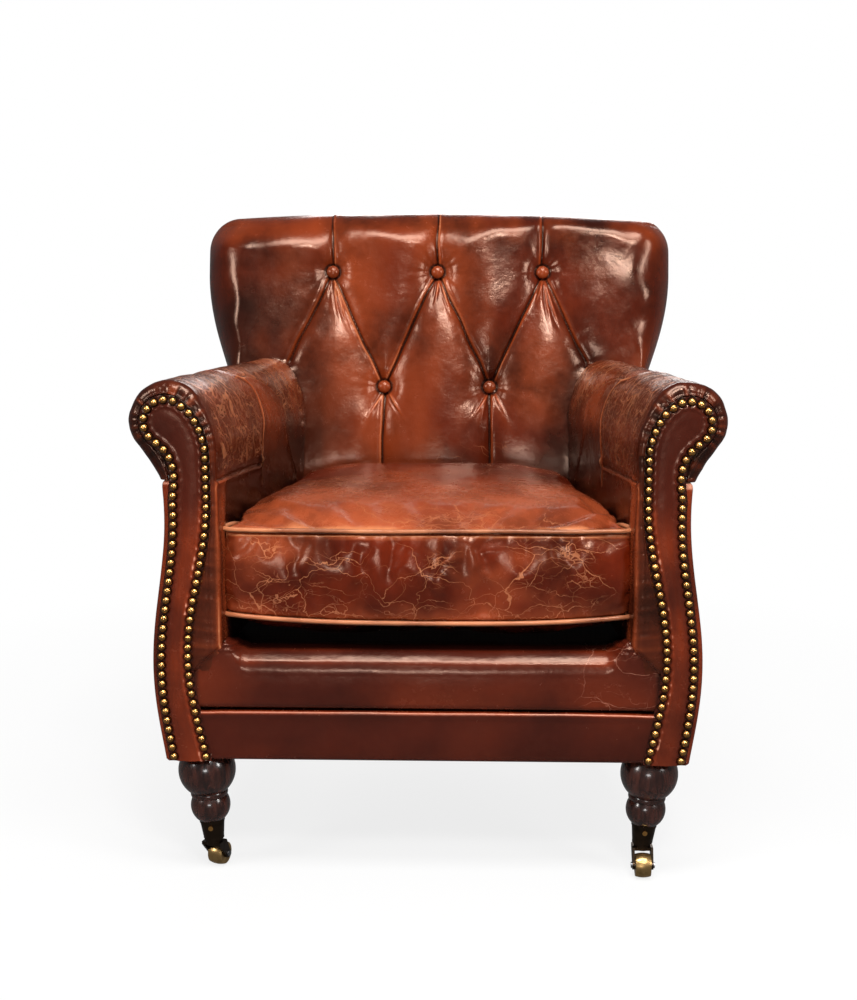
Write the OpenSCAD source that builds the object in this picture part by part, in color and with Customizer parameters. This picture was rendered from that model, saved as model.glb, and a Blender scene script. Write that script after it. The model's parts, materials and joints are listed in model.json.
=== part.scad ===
// Low leather armchair with scrolled arms, a buttoned back and front casters.
// Millimetres. The chair faces -Y and +Z is up. Left and right are as seen from the front, with
// +X to the right. The origin is on the floor under the middle of the chair.

/* [Overall] */
// Depth from the nail heads to the back
overall_d = 720; // [700:5:780]
// Height of the back's crest
overall_h = 845; // [820:5:890]
// Height of the upholstered body's underside, which is the height of the legs
body_z = 163; // [150:1:185]

/* [Seat] */
// Clear width between the arms at their front
seat_w = 519; // [505:1:530]
// Height of the deck that the loose cushion lies on
deck_z = 312; // [306:1:330]
// Thickness of the padded deck
deck_t = 40; // [25:1:45]
// Gap behind the loose cushion
cushion_gap = 4; // [3:0.5:12]
// Height between the cushion's two pipings
boxing_h = 117; // [90:1:125]
// Height of the crown on the cushion's top
crown_top = 25; // [10:1:35]
// Depth of the crown on the cushion's underside
crown_bottom = 35; // [10:1:40]
// Radius of the cushion's upright corners
cushion_corner_r = 26; // [22:1:60]
// Diameter of the piping cord on the cushion
piping_d = 7; // [5:0.5:9]

/* [Front] */
// Depth of the padded border under the front roll
border_t = 18.5; // [12:0.5:24]
// Height of the seam between the border and the front roll
roll_seam_z = 233; // [220:1:245]
// Depth of the front roll
roll_d = 70; // [60:1:90]
// Drop of the front roll's crest below the deck
roll_drop = 3; // [1:0.5:8]

/* [Arms] */
// Width of an arm at the front, from the clear seat to the outside of the scroll
arm_w = 110.5; // [104:0.5:120]
// Mean width of an arm below its roll, at the front
arm_body_w = 80.5; // [76:0.5:84]
// Height of the scrolled arm's top at the front
arm_h = 652; // [630:1:670]
// Radius of the scroll
scroll_r = 48; // [42:1:54]
// Angle by which each arm turns in towards the rear
arm_toe = 6; // [3:0.5:8]
// Angle by which each arm's top falls towards the rear
arm_fall = 3.3; // [1:0.1:5]
// Drop from the scroll's centre to where the inside of the arm turns upright
shoulder_drop = 39; // [30:1:50]
// Drop from the scroll's centre to the seam under the roll
seam_drop = 73; // [66:1:80]
// Swell of the outside panel's curve each side of its mean
panel_swell = 10.5; // [6:0.5:12]
// Height of the outside panel's fullest point
panel_swell_z = 285; // [270:1:300]
// Height between the panel's fullest and its narrowest point
panel_swell_h = 205; // [190:1:220]
// Thickness of the padding on the inside of the arm
arm_pad_t = 22; // [16:1:26]
// Thickness of the leather and board of the outside panels
panel_t = 4; // [3:0.5:5]
// Thickness of the leather that wraps round to the front
wrap_t = 3; // [2:0.5:4]

/* [Facings] */
// Thickness of the facing panel on the front of each arm
facing_t = 6; // [4:0.5:9]
// Distance of the outer nail line from the outside panel's edge
nail_inset_side = 13; // [11:0.5:16]
// Distance of the nail line from the edge of the scroll
nail_inset_scroll = 19.5; // [16:0.5:22]
// Distance of the facing's edge from the nail line
facing_margin = 7; // [5.5:0.5:8]
// Distance of the inner nail line's mean from the arm's inside
nail_in_x = 29; // [26:0.5:30]
// Swell of the inner nail line each side of that mean
nail_in_swell = 14.5; // [8:0.5:15]
// Height of the inner nail line's widest point
nail_in_z = 300; // [285:1:310]
// Height between the inner nail line's widest and narrowest point
nail_in_h = 210; // [190:1:220]
// Diameter of a nail head
nail_d = 9.6; // [8:0.2:10.4]
// Height of a nail head
nail_rise = 4; // [2.5:0.5:5]
// Distance from one nail to the next
nail_pitch = 12.3; // [11.6:0.1:14]

/* [Back] */
// Recline of the outside back
recline = 10; // [7:0.5:12]
// Recline of the padded front of the back
pad_recline = 14; // [12.5:0.5:16]
// Distance from the chair's rear to the padded front, level with the cushion's top
seat_back = 196; // [188:1:200]
// Height above the deck where the padded front starts to recline
knee_h = 148; // [130:2:156]
// Distance of the back's foot outside the clear seat, each side
back_foot_out = 20.5; // [14:0.5:26]
// Distance of the back's widest point inside the scrolls' outer edges, each side
back_inset = 0; // [0:0.5:14]
// Height above the deck where the back starts to widen
flare_low_h = 68; // [50:2:100]
// Drop from the crest to where the back is widest
flare_drop = 100; // [90:1:115]
// Radius of the back's upper corners
back_corner_r = 52; // [40:1:60]
// Rise of the crest between the corners
back_crown = 9; // [4:1:14]
// Depth of the frame that carries the back
back_frame_d = 30; // [24:1:36]
// Drop from the crest to the upper row of buttons
button_drop = 88; // [76:1:100]
// Height between the two rows of buttons
button_row_h = 177; // [160:1:185]
// Distance between the buttons of a row
button_pitch = 166; // [150:2:176]
// Diameter of a button
button_d = 21; // [18:1:28]
// Depth that a button is drawn into the padding
button_sink = 19; // [16:1:30]

/* [Frame] */
// Height of the seat rails
rail_h = 75; // [65:1:80]
// Thickness of the seat rails
rail_t = 25; // [20:1:28]
// Height of the blocks that carry the legs
block_h = 26; // [22:1:28]
// Width of a back post
post_w = 46; // [40:1:54]
// Thickness of a webbing strap
strap_t = 2; // [1.5:0.5:3]
// Width of a webbing strap
strap_w = 50; // [40:2:60]
// Diameter of the seat spring wire
wire_d = 4.4; // [3.6:0.2:5]
// Number of seat springs
springs = 5; // [3:1:6]

/* [Legs] */
// Distance of the front legs' tops outside the clear seat
front_leg_out = 32; // [28:0.5:38]
// Distance of the front legs' tops behind the leather's front plane
front_leg_setback = 36; // [34:1:44]
// Inward lean of the front legs
leg_lean = 4; // [0:0.5:5]
// Largest radius of the front legs' turning
leg_r = 37.5; // [32:0.5:38]
// Distance of the rear legs' tops inside the clear seat's edge
rear_leg_in = 21.5; // [19:0.5:30]
// Width of a rear leg at its top
rear_leg_w = 44; // [36:1:46]
// Width of a rear leg at its foot
rear_leg_foot = 32; // [26:1:36]
// Distance that a rear leg rakes back
rear_leg_rake = 55; // [40:1:65]
// Diameter of the leg bolts
leg_bolt_d = 8; // [6:1:10]
// Depth of the leg bolts in the legs
leg_bolt_l = 31; // [24:1:36]
// Diameter of the glides under the rear legs
glide_d = 24; // [18:1:26]
// Height of those glides
glide_h = 4; // [3:0.5:6]

/* [Casters] */
// Diameter of a caster wheel
wheel_d = 32; // [28:1:34]
// Width of a caster wheel
wheel_w = 20; // [16:1:22]
// Distance that a wheel trails behind its swivel
trail = 14; // [10:1:18]
// Diameter of the swivel pin
pin_d = 8; // [6:0.5:9]
// Diameter of the wheel's axle
axle_d = 5; // [4:0.5:6]
// Height of the caster's cup above its swivel face
cup_h = 27; // [24:1:32]
// Resting angle of the left caster's swivel
rest_left = 160; // [-180:1:180]
// Resting angle of the right caster's swivel
rest_right = 0; // [-180:1:180]

/* [Hidden] */
$fn = 64;

// Clearances: soft pieces lie this far apart, a wooden joint this far, a bore this much larger
soft_gap = 0.3;
wood_gap = 0.2;
bore_gap = 0.05;
far = 1000;
leather_dark = [0.30, 0.11, 0.09];
leather_mid = [0.42, 0.17, 0.11];
leather_worn = [0.55, 0.27, 0.17];
beech = [0.78, 0.63, 0.44];
mahogany = [0.14, 0.07, 0.06];
jute = [0.62, 0.52, 0.36];
black_cloth = [0.10, 0.10, 0.11];
steel = [0.55, 0.56, 0.58];
brass = [0.72, 0.55, 0.27];
bronze = [0.22, 0.17, 0.13];

// Distances from the middle plane, all carried by the clear seat's width
overall_w = seat_w + 2 * arm_w;
panel_x = seat_w / 2 + arm_body_w;
front_leg_x = seat_w / 2 + front_leg_out;
rear_leg_x = seat_w / 2 - rear_leg_in;
back_foot_x = seat_w / 2 + back_foot_out;
back_wing_x = overall_w / 2 - back_inset;

// Heights on the back, carried by the deck and the crest
knee_z = deck_z + knee_h;
flare_low_z = deck_z + flare_low_h;
flare_high_z = overall_h - flare_drop;
button_high_z = overall_h - button_drop;
button_low_z = button_high_z - button_row_h;

// Planes across the chair, from the front: nail tops, facing, leather, front rail
facing_y = -overall_d / 2 + nail_rise;
leather_y = facing_y + facing_t;
rail_y = leather_y + border_t;
stump_y = leather_y + wrap_t;
stump_t = 28;
seat_back_y = overall_d / 2 - seat_back;
rail_z = body_z + 1 + block_h;
rail_top = rail_z + rail_h;
deck_low = deck_z - deck_t;
arm_foot_z = deck_z + soft_gap;

// The arm's section: scroll circle, shoulder arc on the inside, seam under the roll
arm_in = seat_w / 2 + 0.4;
scroll_x = overall_w / 2 - scroll_r / cos(arm_toe);
scroll_z = arm_h - scroll_r;
seam_z = scroll_z - seam_drop;
shoulder_z = scroll_z - shoulder_drop;
shoulder_in = scroll_x - arm_in;
shoulder_r = (shoulder_drop * shoulder_drop / (shoulder_in - scroll_r) + shoulder_in + scroll_r) / 2;
shoulder_c = [arm_in + shoulder_r, shoulder_z];
shoulder_a = atan2(scroll_z - shoulder_z, scroll_x - shoulder_c.x);
// Where the leather leaves the scroll in a straight line to the seam
lip_x = panel_x - panel_swell + 4.5;
lip_vec = [lip_x - scroll_x, -seam_drop];
lip_a = atan2(lip_vec.y, lip_vec.x) + acos(scroll_r / norm(lip_vec));

function on_scroll(a, r) = [scroll_x + r * cos(a), scroll_z + r * sin(a)];
function on_shoulder(a, inset) = shoulder_c + (shoulder_r - inset) * [cos(a), sin(a)];
function panel_out(z) = panel_x + panel_swell * cos(180 * (z - panel_swell_z) / panel_swell_h);

// The back lies in a plane that leans by recline: a point is (across, up the plane, out of it)
rear_top_n = back_frame_d + panel_t + 2 * strap_t;
plane_h = (overall_h - body_z - rear_top_n * sin(recline)) / cos(recline);
plane_y = overall_d / 2 - plane_h * sin(recline);
function up_plane(z, n = 0) = (z - body_z + n * sin(recline)) / cos(recline);
function in_world(p) = [p.x, plane_y + p.y * sin(recline) + p.z * cos(recline),
    body_z + p.y * cos(recline) - p.z * sin(recline)];
function rim_w(z) = up_plane(z, -rear_top_n);
crest_side_z = overall_h - back_crown - back_corner_r;
function flare(z) = z <= flare_low_z ? 0 : z >= flare_high_z ? 1
    : (1 - cos(180 * (z - flare_low_z) / (flare_high_z - flare_low_z))) / 2;
function back_side(z) = back_foot_x + (back_wing_x - back_foot_x) * flare(z);
corner_in = back_wing_x - back_corner_r;
function corner_drop(x) = let (c = max(0, abs(x) - corner_in))
    back_corner_r - sqrt(max(0, back_corner_r * back_corner_r - c * c));
function back_top(x) = overall_h - back_crown * pow(min(abs(x), corner_in) / corner_in, 2)
    - corner_drop(x);
function back_side_pts(inset) = concat(
    [[back_foot_x - inset, -20]],
    [for (i = [0 : 16]) let (z = flare_low_z + (flare_high_z - flare_low_z) * i / 16)
        [back_side(z) - inset, rim_w(z)]],
    [for (a = [0 : 9 : 81]) [corner_in + (back_corner_r - inset) * cos(a),
        rim_w(crest_side_z) + (back_corner_r - inset) * sin(a)]],
    [for (i = [6 : -1 : 1]) [corner_in * i / 6, rim_w(back_top(corner_in * i / 6)) - inset]],
    [[0, rim_w(overall_h) - inset]]);
function mirrored(pts) = [for (i = [len(pts) - 2 : -1 : 0]) [-pts[i].x, pts[i].y]];
module back_outline(inset) {
    polygon(concat(back_side_pts(inset), mirrored(back_side_pts(inset))));
}

// A round wire or cord along a level path: one ring of the given sides at each point
function along(p, i, closed) = let (n = len(p), a = closed ? p[(i + n - 1) % n] : p[max(0, i - 1)],
    b = closed ? p[(i + 1) % n] : p[min(n - 1, i + 1)]) (b - a) / norm(b - a);
module flat_tube(path, d, sides, closed) {
    n = len(path);
    rings = closed ? n : n - 1;
    pts = [for (i = [0 : n - 1], k = [0 : sides - 1]) let (t = along(path, i, closed),
        a = 360 * (k + 0.5) / sides, side = d / 2 * cos(a))
        [path[i].x + t.y * side, path[i].y - t.x * side, d / 2 * sin(a)]];
    faces = concat(
        [for (i = [0 : rings - 1], k = [0 : sides - 1]) let (j = (i + 1) % n, l = (k + 1) % sides)
            each [[i * sides + k, j * sides + k, j * sides + l], [i * sides + k, j * sides + l, i * sides + l]]],
        closed ? [] : [for (k = [1 : sides - 2]) [0, k, k + 1]],
        closed ? [] : [for (k = [1 : sides - 2]) (n - 1) * sides * [1, 1, 1] + [0, k + 1, k]]);
    polyhedron(pts, faces, convexity = 8);
}

// Places: an arm's own line turned in at the front, its top falling, and the leaning back plane
module toed() {
    translate([panel_x, leather_y, 0]) rotate([0, 0, arm_toe]) translate([-panel_x, -leather_y, 0])
        children();
}
module fallen() {
    translate([0, leather_y, scroll_z]) rotate([-arm_fall, 0, 0]) translate([0, -leather_y, -scroll_z])
        children();
}
module along_y(y0, y1) {
    translate([0, y1, 0]) rotate([90, 0, 0]) linear_extrude(y1 - y0) children();
}
module across(w) {
    rotate([90, 0, 90]) linear_extrude(w, center = true) children();
}
module leaning(n0, n1) {
    translate([0, plane_y, body_z]) rotate([90 - recline, 0, 0])
        translate([0, 0, -n1]) linear_extrude(n1 - n0) children();
}
module both_sides(side) {
    if (side > 0) children(); else mirror([1, 0, 0]) children();
}
module above_underside() {
    intersection() {
        children();
        translate([-far, -far, body_z]) cube([2 * far, 2 * far, 2 * far]);
    }
}

// Everything behind the padded front of the back, less a gap
function pad_front_y(z) = seat_back_y + max(0, z - knee_z) * tan(pad_recline);
module behind_pad(gap) {
    across(2 * far) polygon([[seat_back_y - gap, 0], [seat_back_y - gap, knee_z],
        [pad_front_y(far) - gap, far], [far, far], [far, 0]]);
}
module behind_band(gap) {
    leaning(-rear_top_n - gap, far) translate([-far, -far]) square(2 * far);
}

// The arm in its own line: scroll, shoulder and the upright part below them
module arm_form() {
    y0 = leather_y - 80;
    y1 = overall_d / 2;
    along_y(y0, y1) translate([scroll_x, scroll_z]) circle(scroll_r);
    along_y(y0, y1) intersection() {
        translate(shoulder_c) circle(shoulder_r);
        polygon([[arm_in - 1, shoulder_z], [scroll_x, shoulder_z], [scroll_x, scroll_z],
            on_scroll(shoulder_a, scroll_r + 60), [arm_in - 1, scroll_z + 60]]);
    }
    along_y(y0, y1) polygon([[arm_in, 0], [arm_in, shoulder_z], [scroll_x, scroll_z],
        on_scroll(lip_a, scroll_r - 0.1), [lip_x, seam_z], [lip_x, 0]]);
}
module arm_hollow() {
    translate([arm_in + arm_pad_t, -far]) square([far, far + seam_z]);
}
module panel_section(inset, low, high) {
    step = (high - low) / 30;
    polygon(concat([[0, low]], [for (i = [0 : 30]) [panel_out(low + i * step) - inset, low + i * step]],
        [[0, high]]));
}
module under_roll(gap) {
    toed() fallen() along_y(leather_y - 80, overall_d)
        translate([0, -far]) square([2 * far, far + seam_z - gap]);
}

// The inside faces of the side rails, where the seat frame's cross pieces end
side_rail_x = panel_out(rail_z) - panel_t - rail_t - 0.5;
module left_of_line(x) {
    toed() translate([x - 2 * far, -far, -far]) cube([2 * far, 3 * far, 3 * far]);
}
module between_lines(x) {
    intersection() {
        left_of_line(x);
        mirror([1, 0, 0]) left_of_line(x);
    }
}

// Hardwood frame
stump_in = arm_in + arm_pad_t + 1;
stump_in_low = stump_in + 14;
frame_n = -panel_t - back_frame_d;
rear_rail_y = in_world([0, up_plane(rail_z), frame_n]).y - rail_t - 2;
back_joint_z = crest_side_z - 20;

module front_rail() {
    color(beech) translate([-stump_in_low + wood_gap, rail_y, rail_z])
        cube([2 * (stump_in_low - wood_gap), rail_t, rail_h]);
}
module rear_rail() {
    color(beech) intersection() {
        translate([-far, rear_rail_y, rail_z]) cube([2 * far, rail_t, rail_h]);
        between_lines(side_rail_x - wood_gap);
    }
}
module side_rail(side) {
    color(beech) both_sides(side) difference() {
        intersection() {
            toed() translate([side_rail_x, -far, rail_z]) cube([rail_t, 2 * far, rail_h]);
            translate([0, stump_y + stump_t + wood_gap, 0]) cube([far, overall_d, far]);
        }
        leaning(frame_n - wood_gap, far) translate([-far, -far]) square(3 * far);
        leaning(-rear_top_n - wood_gap, far) difference() {
            translate([-far, -far]) square(3 * far);
            back_outline(panel_t + wood_gap);
        }
    }
}
module leg_block(x, y) {
    difference() {
        intersection() {
            translate([x - 54, y - 25, body_z + 1]) cube([100, 52, block_h - wood_gap]);
            left_of_line(panel_out(body_z) - panel_t - 1);
            translate([-far, rail_y, 0]) cube(3 * far);
        }
        leaning(-panel_t - wood_gap, far) translate([-far, -far]) square(3 * far);
        translate([x, y, 0]) cylinder(h = far, d = leg_bolt_d + 2 * bore_gap);
    }
}
module leg_blocks() {
    color(beech) for (side = [-1, 1]) both_sides(side) {
        leg_block(front_leg_x, front_leg_y);
        leg_block(rear_leg_x, rear_leg_y);
    }
}
module arm_stump(side) {
    color(beech) both_sides(side) intersection() {
        along_y(stump_y, stump_y + stump_t) polygon([[stump_in_low, rail_z], [far, rail_z],
            [far, far], [stump_in, far], [stump_in, deck_z], [stump_in_low, deck_z]]);
        toed() along_y(leather_y - 80, 0) panel_section(panel_t + wood_gap, body_z, seam_z + 20);
        under_roll(wood_gap);
    }
}
arm_rear_post_y = seat_back_y - rail_t - soft_gap;
arm_rail_low = seam_z - 32;
arm_rail_w = lip_x - panel_t - 9 - stump_in;
module arm_rail(side) {
    color(beech) both_sides(side) intersection() {
        toed() fallen() along_y(-far, far) translate([stump_in, arm_rail_low])
            square([arm_rail_w, seam_z - wood_gap - arm_rail_low]);
        translate([0, stump_y + stump_t + wood_gap, 0])
            cube([far, seat_back_y - soft_gap - stump_y - stump_t - wood_gap, far]);
    }
}
module arm_rear_post(side) {
    color(beech) both_sides(side) difference() {
        intersection() {
            toed() translate([stump_in, -far, rail_top + wood_gap])
                cube([arm_rail_w, 3 * far, far]);
            translate([0, arm_rear_post_y, 0]) cube([far, rail_t, far]);
        }
        toed() fallen() along_y(-far, far) translate([-far, arm_rail_low - wood_gap])
            square(2 * far);
    }
}
module frame_ring() {
    difference() {
        back_outline(panel_t + wood_gap);
        back_outline(panel_t + post_w);
    }
}
module back_post(side) {
    color(beech) both_sides(side) intersection() {
        leaning(frame_n, -panel_t - wood_gap) intersection() {
            frame_ring();
            translate([0, -far]) square([far, far + rim_w(back_joint_z)]);
        }
        translate([0, -far, rail_z]) cube(3 * far);
    }
}
module back_top_rail() {
    color(beech) leaning(frame_n, -panel_t - wood_gap) intersection() {
        frame_ring();
        translate([-far, rim_w(back_joint_z) + wood_gap]) square(2 * far);
    }
}
back_rail_low = rim_w(deck_z - 6);
back_rail_h = 45;
module back_lower_rail() {
    half = back_foot_x - panel_t - post_w - wood_gap;
    color(beech) leaning(frame_n, -panel_t - wood_gap) translate([-half, back_rail_low])
        square([2 * half, back_rail_h]);
}

// Springs, webbing, deck and bottom cloth
spring_y0 = rail_y + rail_t / 2;
spring_y1 = rear_rail_y + rail_t / 2;
clip_top = deck_low - soft_gap;
spring_z = clip_top - wire_d / 2 - 0.5;
spring_half = 14;
spring_bends = 12;
spring_step = (spring_y1 - spring_y0) / spring_bends;
spring_pitch = 2 * (side_rail_x - 90) / springs;
clip_w = 18;
function spring_x(i) = (i - (springs - 1) / 2) * spring_pitch;
spring_path = concat([[-spring_half, 0]],
    [for (k = [0 : spring_bends - 1], a = [-90 : 45 : 90]) let (right = k % 2 == 0 ? 1 : -1)
        [right * (spring_half + spring_step / 2 * cos(a)), (k + 0.5 + sin(a) / 2) * spring_step]],
    [[(spring_bends % 2 == 0 ? 1 : -1) * spring_half, spring_bends * spring_step]]);
module seat_springs() {
    color(steel) for (i = [0 : springs - 1])
        translate([spring_x(i), spring_y0, spring_z]) flat_tube(spring_path, wire_d, 6, false);
}
module spring_clips() {
    color(steel) for (i = [0 : springs - 1], y = [spring_y0, spring_y1])
        translate([spring_x(i), y, 0]) difference() {
            translate([-clip_w / 2, -7, rail_top]) cube([clip_w, 14, clip_top - rail_top]);
            translate([-clip_w, 0, spring_z]) rotate([0, 90, 0])
                cylinder(h = 2 * clip_w, d = wire_d + 4 * bore_gap, $fn = 24);
        }
}
module deck() {
    y0 = leather_y + roll_d + soft_gap;
    color(black_cloth) intersection() {
        translate([-far, y0, deck_low]) cube([2 * far, seat_back_y - soft_gap - y0, deck_t]);
        between_lines(arm_in + arm_pad_t);
    }
}
module dust_cover() {
    color(black_cloth) difference() {
        intersection() {
            translate([-far, rail_y, body_z]) cube([2 * far, overall_d, 1]);
            between_lines(panel_out(body_z) - panel_t - 1);
        }
        leaning(-panel_t - soft_gap, far) translate([-far, -far]) square(3 * far);
        for (side = [-1, 1]) both_sides(side) {
            translate([front_leg_x, front_leg_y, 0]) cylinder(h = far, d = leg_bolt_d + 1);
            translate([rear_leg_x, rear_leg_y, 0]) cylinder(h = far, d = leg_bolt_d + 1);
        }
    }
}
strap_rows = [for (i = [-2 : 2]) button_low_z + i * (button_high_z - button_low_z) / 2 - 5];
module back_webbing() {
    color(jute) {
        leaning(frame_n - strap_t, frame_n) for (z = strap_rows) {
            half = back_side(z) - panel_t - post_w / 2;
            translate([-half, rim_w(z) - strap_w / 2]) square([2 * half, strap_w]);
        }
        leaning(frame_n - 2 * strap_t, frame_n - strap_t) for (i = [-2 : 2])
            translate([(i * button_pitch - strap_w) / 2, back_rail_low])
                square([strap_w, rim_w(overall_h - back_crown) - 25 - back_rail_low]);
    }
}

// Front border and roll
module front_border() {
    y = leather_y;
    r = 8;
    color(leather_dark) across(2 * (stump_in_low - soft_gap)) union() {
        translate([y + r, body_z + r]) circle(r);
        translate([y + r, roll_seam_z - r]) circle(r);
        translate([y, body_z + r]) square([r, roll_seam_z - body_z - 2 * r]);
        translate([y + r, body_z]) square([border_t - r - soft_gap, roll_seam_z - body_z]);
    }
}
module front_roll() {
    low = roll_seam_z + soft_gap;
    top = deck_z - roll_drop;
    y = leather_y;
    r = min(34, roll_d / 2 - 1);
    fold_r = 12;
    color(leather_mid) across(2 * (stump_in_low - soft_gap)) difference() {
        union() {
            translate([y + r, top - r]) circle(r);
            translate([y + fold_r, low + fold_r]) circle(fold_r);
            polygon([[y, low + fold_r], [y + fold_r, low], [y + roll_d, low], [y + roll_d, top],
                [y + r, top], [y, top - r]]);
        }
        translate([rail_y - soft_gap, 0]) square([far, clip_top + soft_gap]);
    }
}

// Arms: the padded inside with its roll, the outside panel, the facing and its nails
module arm(side) {
    color(leather_mid) both_sides(side) difference() {
        intersection() {
            toed() fallen() arm_form();
            translate([-far, leather_y, arm_foot_z]) cube(3 * far);
        }
        toed() fallen() along_y(-far, far) arm_hollow();
        behind_pad(soft_gap);
    }
}
module outside_arm(side) {
    color(leather_dark) both_sides(side) difference() {
        intersection() {
            union() {
                toed() along_y(leather_y - 80, overall_d / 2) difference() {
                    panel_section(0, body_z, seam_z + 20);
                    panel_section(panel_t, body_z - 1, seam_z + 21);
                }
                intersection() {
                    toed() along_y(leather_y - 80, 0) panel_section(0, body_z, seam_z + 20);
                    along_y(leather_y, stump_y) polygon([[stump_in_low, 0], [far, 0], [far, far],
                        [stump_in, far], [stump_in, deck_z], [stump_in_low, deck_z]]);
                }
            }
            translate([-far, leather_y, 0]) cube(3 * far);
            under_roll(soft_gap);
        }
        behind_band(soft_gap);
    }
}

nail_foot_z = body_z + 7;
nail_in_min_z = nail_in_z + nail_in_h;
function nail_side(z) = panel_out(z) - nail_inset_side;
function nail_inside(z) = arm_in + nail_in_x
    + nail_in_swell * cos(180 * (min(z, nail_in_min_z) - nail_in_z) / nail_in_h);
side_top_z = seam_z - 24;
in_top_z = shoulder_z - 14;
nail_line = concat(
    [for (i = [0 : 28]) let (z = nail_foot_z + (side_top_z - nail_foot_z) * i / 28) [nail_side(z), z]],
    [[scroll_x - 7.5, scroll_z - 78], [scroll_x - 7.5, scroll_z - 66], [scroll_x - 6, scroll_z - 53],
        [scroll_x - 1, scroll_z - 40], [scroll_x + 7.5, scroll_z - 30]],
    [for (a = [-45 : 15 : 120]) on_scroll(a, scroll_r - nail_inset_scroll)],
    [for (s = [0 : 3]) on_shoulder(146 + 10 * s, 17.5 - s)],
    [for (i = [0 : 30]) let (z = in_top_z + (nail_foot_z - in_top_z) * i / 30) [nail_inside(z), z]]);
function steps(p, i = 0, s = 0) = i >= len(p) ? []
    : concat([s], steps(p, i + 1, s + (i + 1 < len(p) ? norm(p[i + 1] - p[i]) : 0)));
nail_reach = steps(nail_line);
nail_x_at = [for (i = [0 : len(nail_line) - 1]) [nail_reach[i], nail_line[i].x]];
nail_z_at = [for (i = [0 : len(nail_line) - 1]) [nail_reach[i], nail_line[i].y]];
nail_run = nail_reach[len(nail_reach) - 1];
nail_gaps = round(nail_run / nail_pitch);
nails = [for (i = [0 : nail_gaps]) let (s = nail_run * i / nail_gaps)
    [lookup(s, nail_x_at), lookup(s, nail_z_at)]];
function outward(p, i) = let (a = p[max(0, i - 1)], b = p[min(len(p) - 1, i + 1)], d = b - a)
    [d.y, -d.x] / norm(d);
facing_edge = [for (i = [0 : len(nail_line) - 1])
    nail_line[i] + facing_margin * outward(nail_line, i)];
module arm_facing(side) {
    last = len(facing_edge) - 1;
    color(leather_dark) both_sides(side) along_y(facing_y, leather_y)
        polygon(concat([[facing_edge[0].x, body_z + 1]], facing_edge, [[facing_edge[last].x, body_z + 1]]));
}
module nail_head() {
    r = (nail_d * nail_d / 4 + nail_rise * nail_rise) / (2 * nail_rise);
    rotate([90, 0, 0]) rotate_extrude() intersection() {
        translate([0, nail_rise - r]) circle(r);
        square([nail_d, nail_rise]);
    }
}
module nailheads(side) {
    color(brass) both_sides(side) for (p = nails) translate([p.x, facing_y, p.y]) nail_head();
}

// Back: buttoned pad, band round the frame's edge, outside panel
module back_band() {
    color(leather_dark) above_underside() leaning(-rear_top_n, 0) difference() {
        back_outline(0);
        back_outline(panel_t);
    }
}
module outside_back() {
    color(leather_dark) above_underside() leaning(-panel_t, 0) back_outline(panel_t + wood_gap);
}

// Depth of the padded front, measured out of the back plane
lean_t = tan(pad_recline);
function pad_n(w) = max(
    (seat_back_y - plane_y - w * sin(recline)) / cos(recline),
    (seat_back_y - plane_y + (body_z - knee_z) * lean_t + w * (cos(recline) * lean_t - sin(recline)))
        / (cos(recline) + sin(recline) * lean_t));
pad_rear_n = -rear_top_n - soft_gap;
function rim_z(w) = body_z + w * cos(recline) + rear_top_n * sin(recline);
ledge_z = seam_z - (seat_back_y - leather_y) * tan(arm_fall) + 3;
pad_low_x = panel_x - panel_swell - panel_t - 6
    - (in_world([0, rim_w(ledge_z), -rear_top_n]).y - leather_y) * tan(arm_toe);
pad_low_w = rim_w(deck_z - 8);
ledge_w = rim_w(ledge_z);
high_w = up_plane(button_high_z, pad_n(rim_w(button_high_z)));
low_w = up_plane(button_low_z, pad_n(rim_w(button_low_z)));
buttons = concat([for (i = [-1 : 1]) [i * button_pitch, high_w]],
    [for (i = [-1, 1]) [i * button_pitch / 2, low_w]]);
wing_fold_z = button_low_z + 23;
wing_fold = [back_wing_x - 135, up_plane(wing_fold_z, pad_n(rim_w(wing_fold_z)))];
low_fold_h = 110;
folds = concat(
    [for (i = [-1 : 1]) [[i * button_pitch, high_w], [i * button_pitch, plane_h]]],
    [for (i = [-1 : 1], j = [-1, 1]) if (abs(i + j / 2) < 1)
        [[i * button_pitch, high_w], [(i + j / 2) * button_pitch, low_w]]],
    [for (i = [-1, 1]) [[i * button_pitch, high_w], [i * wing_fold.x, wing_fold.y]]],
    [for (i = [-1, 1]) [[i * button_pitch / 2, low_w], [i * button_pitch / 2, low_w - low_fold_h]]]);
function ease(t) = let (c = min(1, max(0, t))) c * c * (3 - 2 * c);
function to_fold(p, f) = let (d = f[1] - f[0], t = min(1, max(0, (p - f[0]) * d / (d * d))))
    norm(p - f[0] - t * d);
fold_reach = 16;
pillow = 9;
// The pillows stay between the arms below the ledge, and reach out into the wings above it
function pillow_mask(x, w) = let (up = ease((rim_z(w) - ledge_z - 96) / 70))
    ease((rim_z(w) - ledge_z + 4) / 60) * (1 - ease((abs(x) - seat_w / 2 + 120 - 150 * up) / 60));
function pillow_at(p) = pillow * pillow_mask(p.x, p.y)
    * (1 - exp(-min([for (f = folds) to_fold(p, f)]) / fold_reach));
function dimple_at(p) = button_sink * min(1, max([for (b = buttons) exp(-pow(norm(p - b) / 22, 2))]));
function rounded(t, low) = low + (1 - low) * sqrt(1 - pow(1 - min(1, max(0, t)), 2));
side_round_low = 16;
side_round_high = 50;
top_round = 58;
function side_round(w) = side_round_low
    + (side_round_high - side_round_low) * ease((rim_z(w) - ledge_z - 56) / 130);
pad_cols = 32;
pad_rows_low = 6;
pad_rows = 20;
function pad_spread(i) = let (t = 2 * i / pad_cols - 1) 1.15 * t - 0.15 * t * t * t;
function pad_top_w(x) = rim_w(back_top(x)) - 3;
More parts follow.
